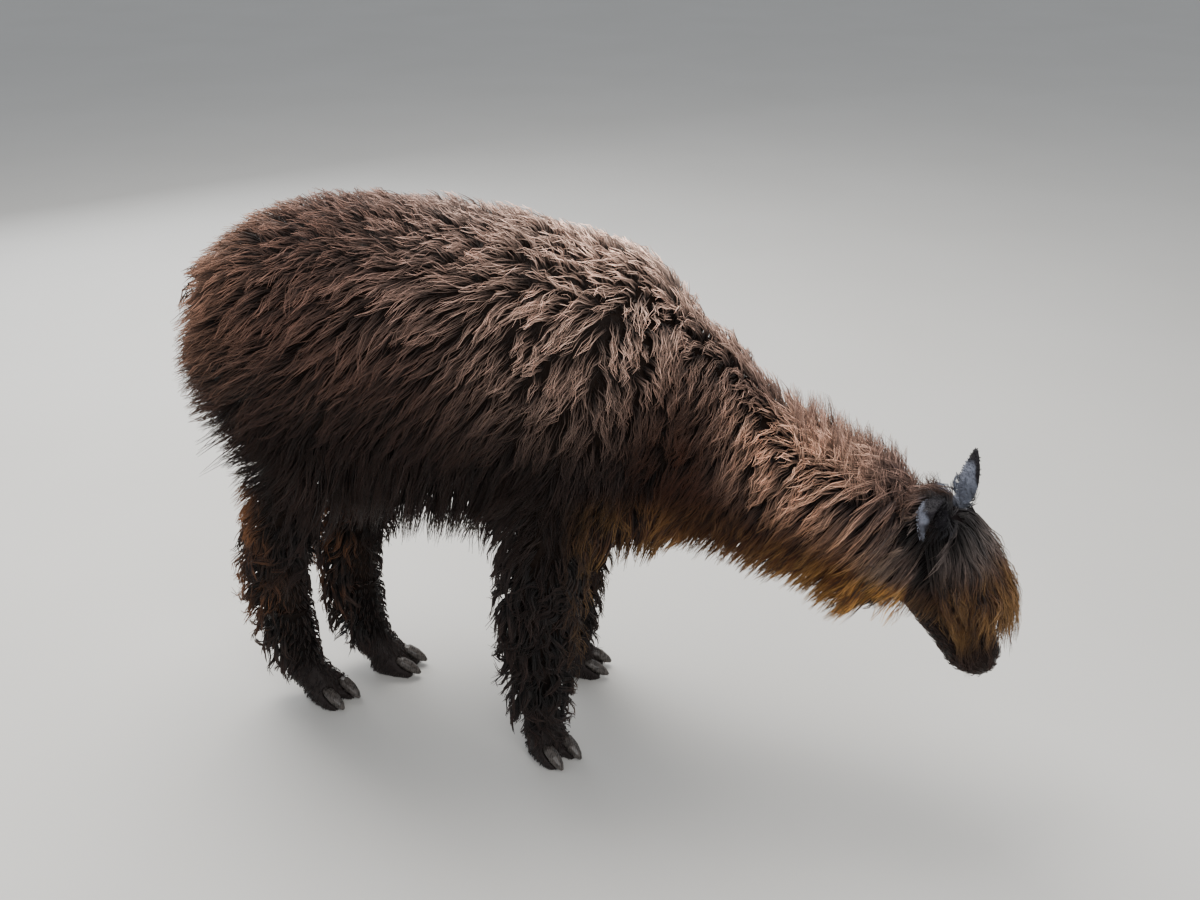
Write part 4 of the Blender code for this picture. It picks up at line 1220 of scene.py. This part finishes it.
def wool(name, names, per_lock, points, keep=True, only=None, finish=WOOL, steps=LINE_STEPS,
         tuft=3.2, uneven=0.30, lowest=0.0, others=(), replaced=()):
    """Roots, combs and builds the wool of some regions as one piece.

    Each lock has per_lock strands with that many points. Wool grows where keep is true, in the way
    of the one region named by only, gathers in tufts of so many gaps, and varies in length by its
    share uneven. No lock hangs below lowest.
    """
    chosen = np.flatnonzero(np.isin(main_region, [list(REGIONS).index(n) for n in names]) & keep)
    chosen = chosen[spaced(roots[chosen], values_of["gap"][chosen])]
    places, normals = roots[chosen], facings[chosen]
    values = values_of | dict(others)
    look = {key: np.broadcast_to(value, len(roots))[chosen] for key, value in values.items()}
    count = len(places)
    swirl = drifting(places, 0.08, 3.0)
    turns = look["stray"] * (dice.normal(0, 0.6, count) + 1.3 * swirl)
    drift = 0.25 * drifting(places, 0.06, 5.0)
    lengths = look["length"] * (0.95 - uneven / 2 + uneven * dice.random(count) + drift)
    lift = look["lift"] * (0.80 + 0.25 * dice.random(count) + 0.20 * drifting(places, 0.05, 7.0))
    lift *= 1 - look["layers"] * dice.random(count)
    falls = lambda spots, facing: lie(spots, facing, only)
    lines, outs, kept = combed(places, normals, lengths, falls, turns, lift, look["beyond"], steps)
    hanging = lines[:, :, 2] < lowest
    kept = np.where(hanging.any(1), np.minimum(kept, (hanging.argmax(1) - 0.4) / (steps - 1)), kept)
    lines = gathered(lines, places, tuft * float(look["gap"].mean()), look["pull"])
    look["radius"] = look["radius"] * (0.8 + 0.4 * dice.random(count))
    spots, out, half_widths, owner = strands(lines, outs, kept, lengths, per_lock, points, look)
    tones = 0.5 + 0.28 * dice.normal(0, 1, count) + 0.35 * drifting(places, 0.05, 9.0)
    spots[..., 2] = np.maximum(spots[..., 2], half_widths + OFF_FLOOR)
    mesh = line_mesh(name, spots, out, half_widths, owner, unwrapped(places), np.clip(tones, 0, 1))
    wool_piece(name, mesh, finish, replaced=replaced)


NECK = ["neck", "nape", "throat", "neck_end"]
right, hind = roots_y < 0, roots_x <= -0.25
right_neck = roots_y < neck_middle(roots_x)
wool("wool_flank_right", ["flank", "shoulder"], 8, 5, right)
wool("wool_flank_left", ["flank", "shoulder"], 7, 5, ~right)
wool("wool_back", ["back"], 6, 5)
wool("wool_rump", ["rump"], 8, 5)
wool("wool_belly", ["belly"], 7, 5, uneven=0.5, lowest=0.385)
wool("wool_neck_right", NECK, 9, 5, right_neck, "neck")
wool("wool_neck_left", NECK, 8, 5, ~right_neck, "neck")
wool("wool_fore_legs", ["leg"], 6, 7, ~hind, "leg")
wool("wool_hind_legs", ["leg"], 6, 7, hind, "leg")
wool("wool_tail", ["tail"], 7, 5, only="tail")
wool("short_hair_feet", ["shin", "foot"], 4, 3, True, "leg", SHORT_HAIR)
wool("short_hair_face", ["face"], 4, 3, True, "face", SHORT_HAIR)
wool("wool_cheeks", ["cheek"], 6, 5, only="cheek", uneven=0.5)
wool("short_hair_ears", ["ear"], 4, 3, True, "ear", SHORT_HAIR)
wool("wool_forelock", ["crown"], 9, 9, only="crown", steps=14, tuft=3.5, uneven=0.55,
     replaced=["forelock"])

# Loose wisps stand up along the crest of the neck, shorter and closer together behind the ears.
WISP = {"radius": 0.010, "clump": 0.75, "frizz": 0.004, "width": 0.0008, "stray": 0.3, "beyond": 0.06,
        "layers": 0.0}
along = head_places(roots)[:, 0]
behind_ears = fade(along, -0.060, -0.020)
crest = (roots_x > 0.34) & (facings[:, 2] > 0.35) & (along < -0.006)
crest &= dice.random(CANDIDATES) < 0.10 + 0.12 * behind_ears
wool("wool_wisps", ["nape", "neck_end", "crown"], 14, 5, crest, "wisp",
     others=WISP | {"length": 0.080 - 0.034 * behind_ears})

# ------------------------------------------------------------------ eyes
# Glossy dark eyeballs with a brown iris and a wide pupil, bulging a little at the cornea. They
# sit in their sockets behind the lids, with a row of stiff lashes on the upper lid.

IRIS, PUPIL_HALF_WIDTH, PUPIL_HALF_HEIGHT = 0.0118, 0.0064, 0.0030
CORNEA, CORNEA_BULGE, EYE_FRONT = 0.0125, 0.0012, 0.002
IRIS_RAYS = 900.0  # to the metre
IRIS_COLOUR, IRIS_RIM, EYE_WHITE = paint(74, 46, 28), paint(22, 14, 11), paint(92, 76, 66)
PUPIL_COLOUR = (0.002, 0.002, 0.002, 1.0)
LASHES, LASH_LENGTH, LASH_HALF_WIDTH, LASH_DROOP, LASH_TONE = 26, 0.013, 0.00022, 0.004, 0.1


def eyeball(name, side):
    """A ball with its pole at the pupil, and each point's place across the pupil stored on it."""
    outward, forward, upward = eye_axes(side)
    mesh = in_order(round_ball((0, 0, 0), EYE_RADIUS, 36))
    local = vectors(mesh.vertices, "co")
    reach = np.hypot(local[:, 0], local[:, 1])
    local[:, 2] += CORNEA_BULGE * fade(reach, CORNEA, 0.0) * (local[:, 2] > 0)
    axes = np.array([forward, forward.cross(outward) * -1, outward])
    if np.linalg.det(axes) < 0:
        axes[1] *= -1
    stored = mesh.attributes.new("pupil_place", "FLOAT_VECTOR", "POINT")
    stored.data.foreach_set("vector", local.astype(np.float32).ravel())
    return moved(mesh, local @ axes + np.array(middle(name)))


def eye_material():
    """A wet dark eye."""
    made, tree, shader = new_material("wet_eye")
    spot = put(tree, "ShaderNodeAttribute", attribute_name="pupil_place").outputs["Vector"]
    x, y, z = parts(spot)

    def reach(across, up):
        flat = put(tree, "ShaderNodeCombineXYZ", {0: across, 1: up})
        return Amount(put(tree, "ShaderNodeVectorMath", {0: flat}, operation="LENGTH").outputs["Value"])

    from_middle = reach(x, y)
    from_pupil = reach(x * (1 / PUPIL_HALF_WIDTH), y * (1 / PUPIL_HALF_HEIGHT))
    rays = ramp(mottled(spot, IRIS_RAYS, 3.0), 0.30, 0.75)
    iris = blended(rays, IRIS_RIM, IRIS_COLOUR)
    iris = blended(ramp(from_middle, IRIS * 0.75, IRIS), iris, IRIS_RIM)
    colour = blended(ramp(from_pupil, 0.85, 1.10), PUPIL_COLOUR, iris)
    white = blended(rays, EYE_WHITE, IRIS_COLOUR)
    colour = blended(ramp(from_middle, IRIS, IRIS * 1.08), colour, white)
    fill(shader, {
        "Base Color": blended(ramp(z, 0.0, EYE_FRONT), white, colour), "Roughness": 0.06, "IOR": 1.376,
        "Coat Weight": 0.6, "Coat Roughness": 0.03,
    })
    return made


WET_EYE = eye_material()
for node, side in EYES.items():
    mesh = eyeball(node, side)
    mesh.materials.append(WET_EYE)
    shown(node + "_ball", mesh, [node])

    # The lashes stand on the upper lid's edge and curve down and out.
    outward, forward, upward = (np.array(axis) for axis in eye_axes(side))
    turn = np.linspace(0.18, 0.82, LASHES) * math.pi
    half, rise, fall = ALMOND
    edge = np.outer(np.cos(turn), forward) * half + np.outer(np.sin(turn), upward) * rise
    edge += np.array(middle(node)) + outward * EYE_RADIUS * 0.93
    spread = unit(np.outer(np.cos(turn), forward) * 0.7 + outward + upward * 0.5)
    lengths = LASH_LENGTH * (0.75 + 0.35 * dice.random(LASHES))
    way = np.linspace(0, 1, 4)
    spots = edge[:, None, :] + spread[:, None, :] * (lengths[:, None] * way)[..., None]
    spots[..., 2] -= (way**2 * LASH_DROOP)[None, :]
    out = np.broadcast_to(upward, spots.shape)
    half_widths = np.full(spots.shape[:2], LASH_HALF_WIDTH) * np.clip(1.1 - way, 0.15, 1)
    name, tones = node + "_lashes", np.full(LASHES, LASH_TONE)
    mesh = line_mesh(name, spots, out, half_widths, np.arange(LASHES), unwrapped(edge), tones)
    wool_piece(name, mesh, SHORT_HAIR, 0.8)


# ------------------------------------------------------------------ toenails
# Each foot has two toes, each with a grey, domed, slightly worn nail at its front. They grow in
# faint rings from the root.

NAIL_VOXEL = 0.0013
NAIL_SIZE = 0.97  # of the solids' own, as hair laps the nail's edges
NAIL_LIGHT, NAIL_DARK = paint(84, 78, 74), paint(42, 39, 37)
NAIL_RINGS, NAIL_WEAR = 95.0, 160.0  # to the metre


def nail_material():
    """Worn grey horn with growth rings and fine scratches."""
    made, tree, shader = new_material("toenail_horn")
    place = object_place(tree)
    values = {"Vector": place, "Scale": NAIL_RINGS, "Distortion": 5.0, "Detail": 2.0}
    rings = Amount(put(tree, "ShaderNodeTexWave", values, bands_direction="X").outputs["Fac"])
    wear = mottled(place, NAIL_WEAR, 4.0)
    streaks = rings * 0.25 + wear * 0.9
    fill(shader, {
        "Base Color": blended(ramp(streaks, 0.30, 0.80), NAIL_DARK, NAIL_LIGHT),
        "Roughness": ramp(wear, 0.10, 1.20), "Specular IOR Level": 0.3,
        "Normal": put(tree, "ShaderNodeBump", {"Height": streaks, "Distance": 0.0006, "Strength": 0.4}),
    })
    return made


HORN = nail_material()
for node in sorted(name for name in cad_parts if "nail" in name):
    mesh = lump([node], [], NAIL_VOXEL, 2)
    centre = middle(node)
    mesh.transform(Matrix.Translation(centre) @ Matrix.Scale(NAIL_SIZE, 4) @ Matrix.Translation(-centre))
    mesh.materials.append(HORN)
    shown(node + "_horn", mesh, [node])
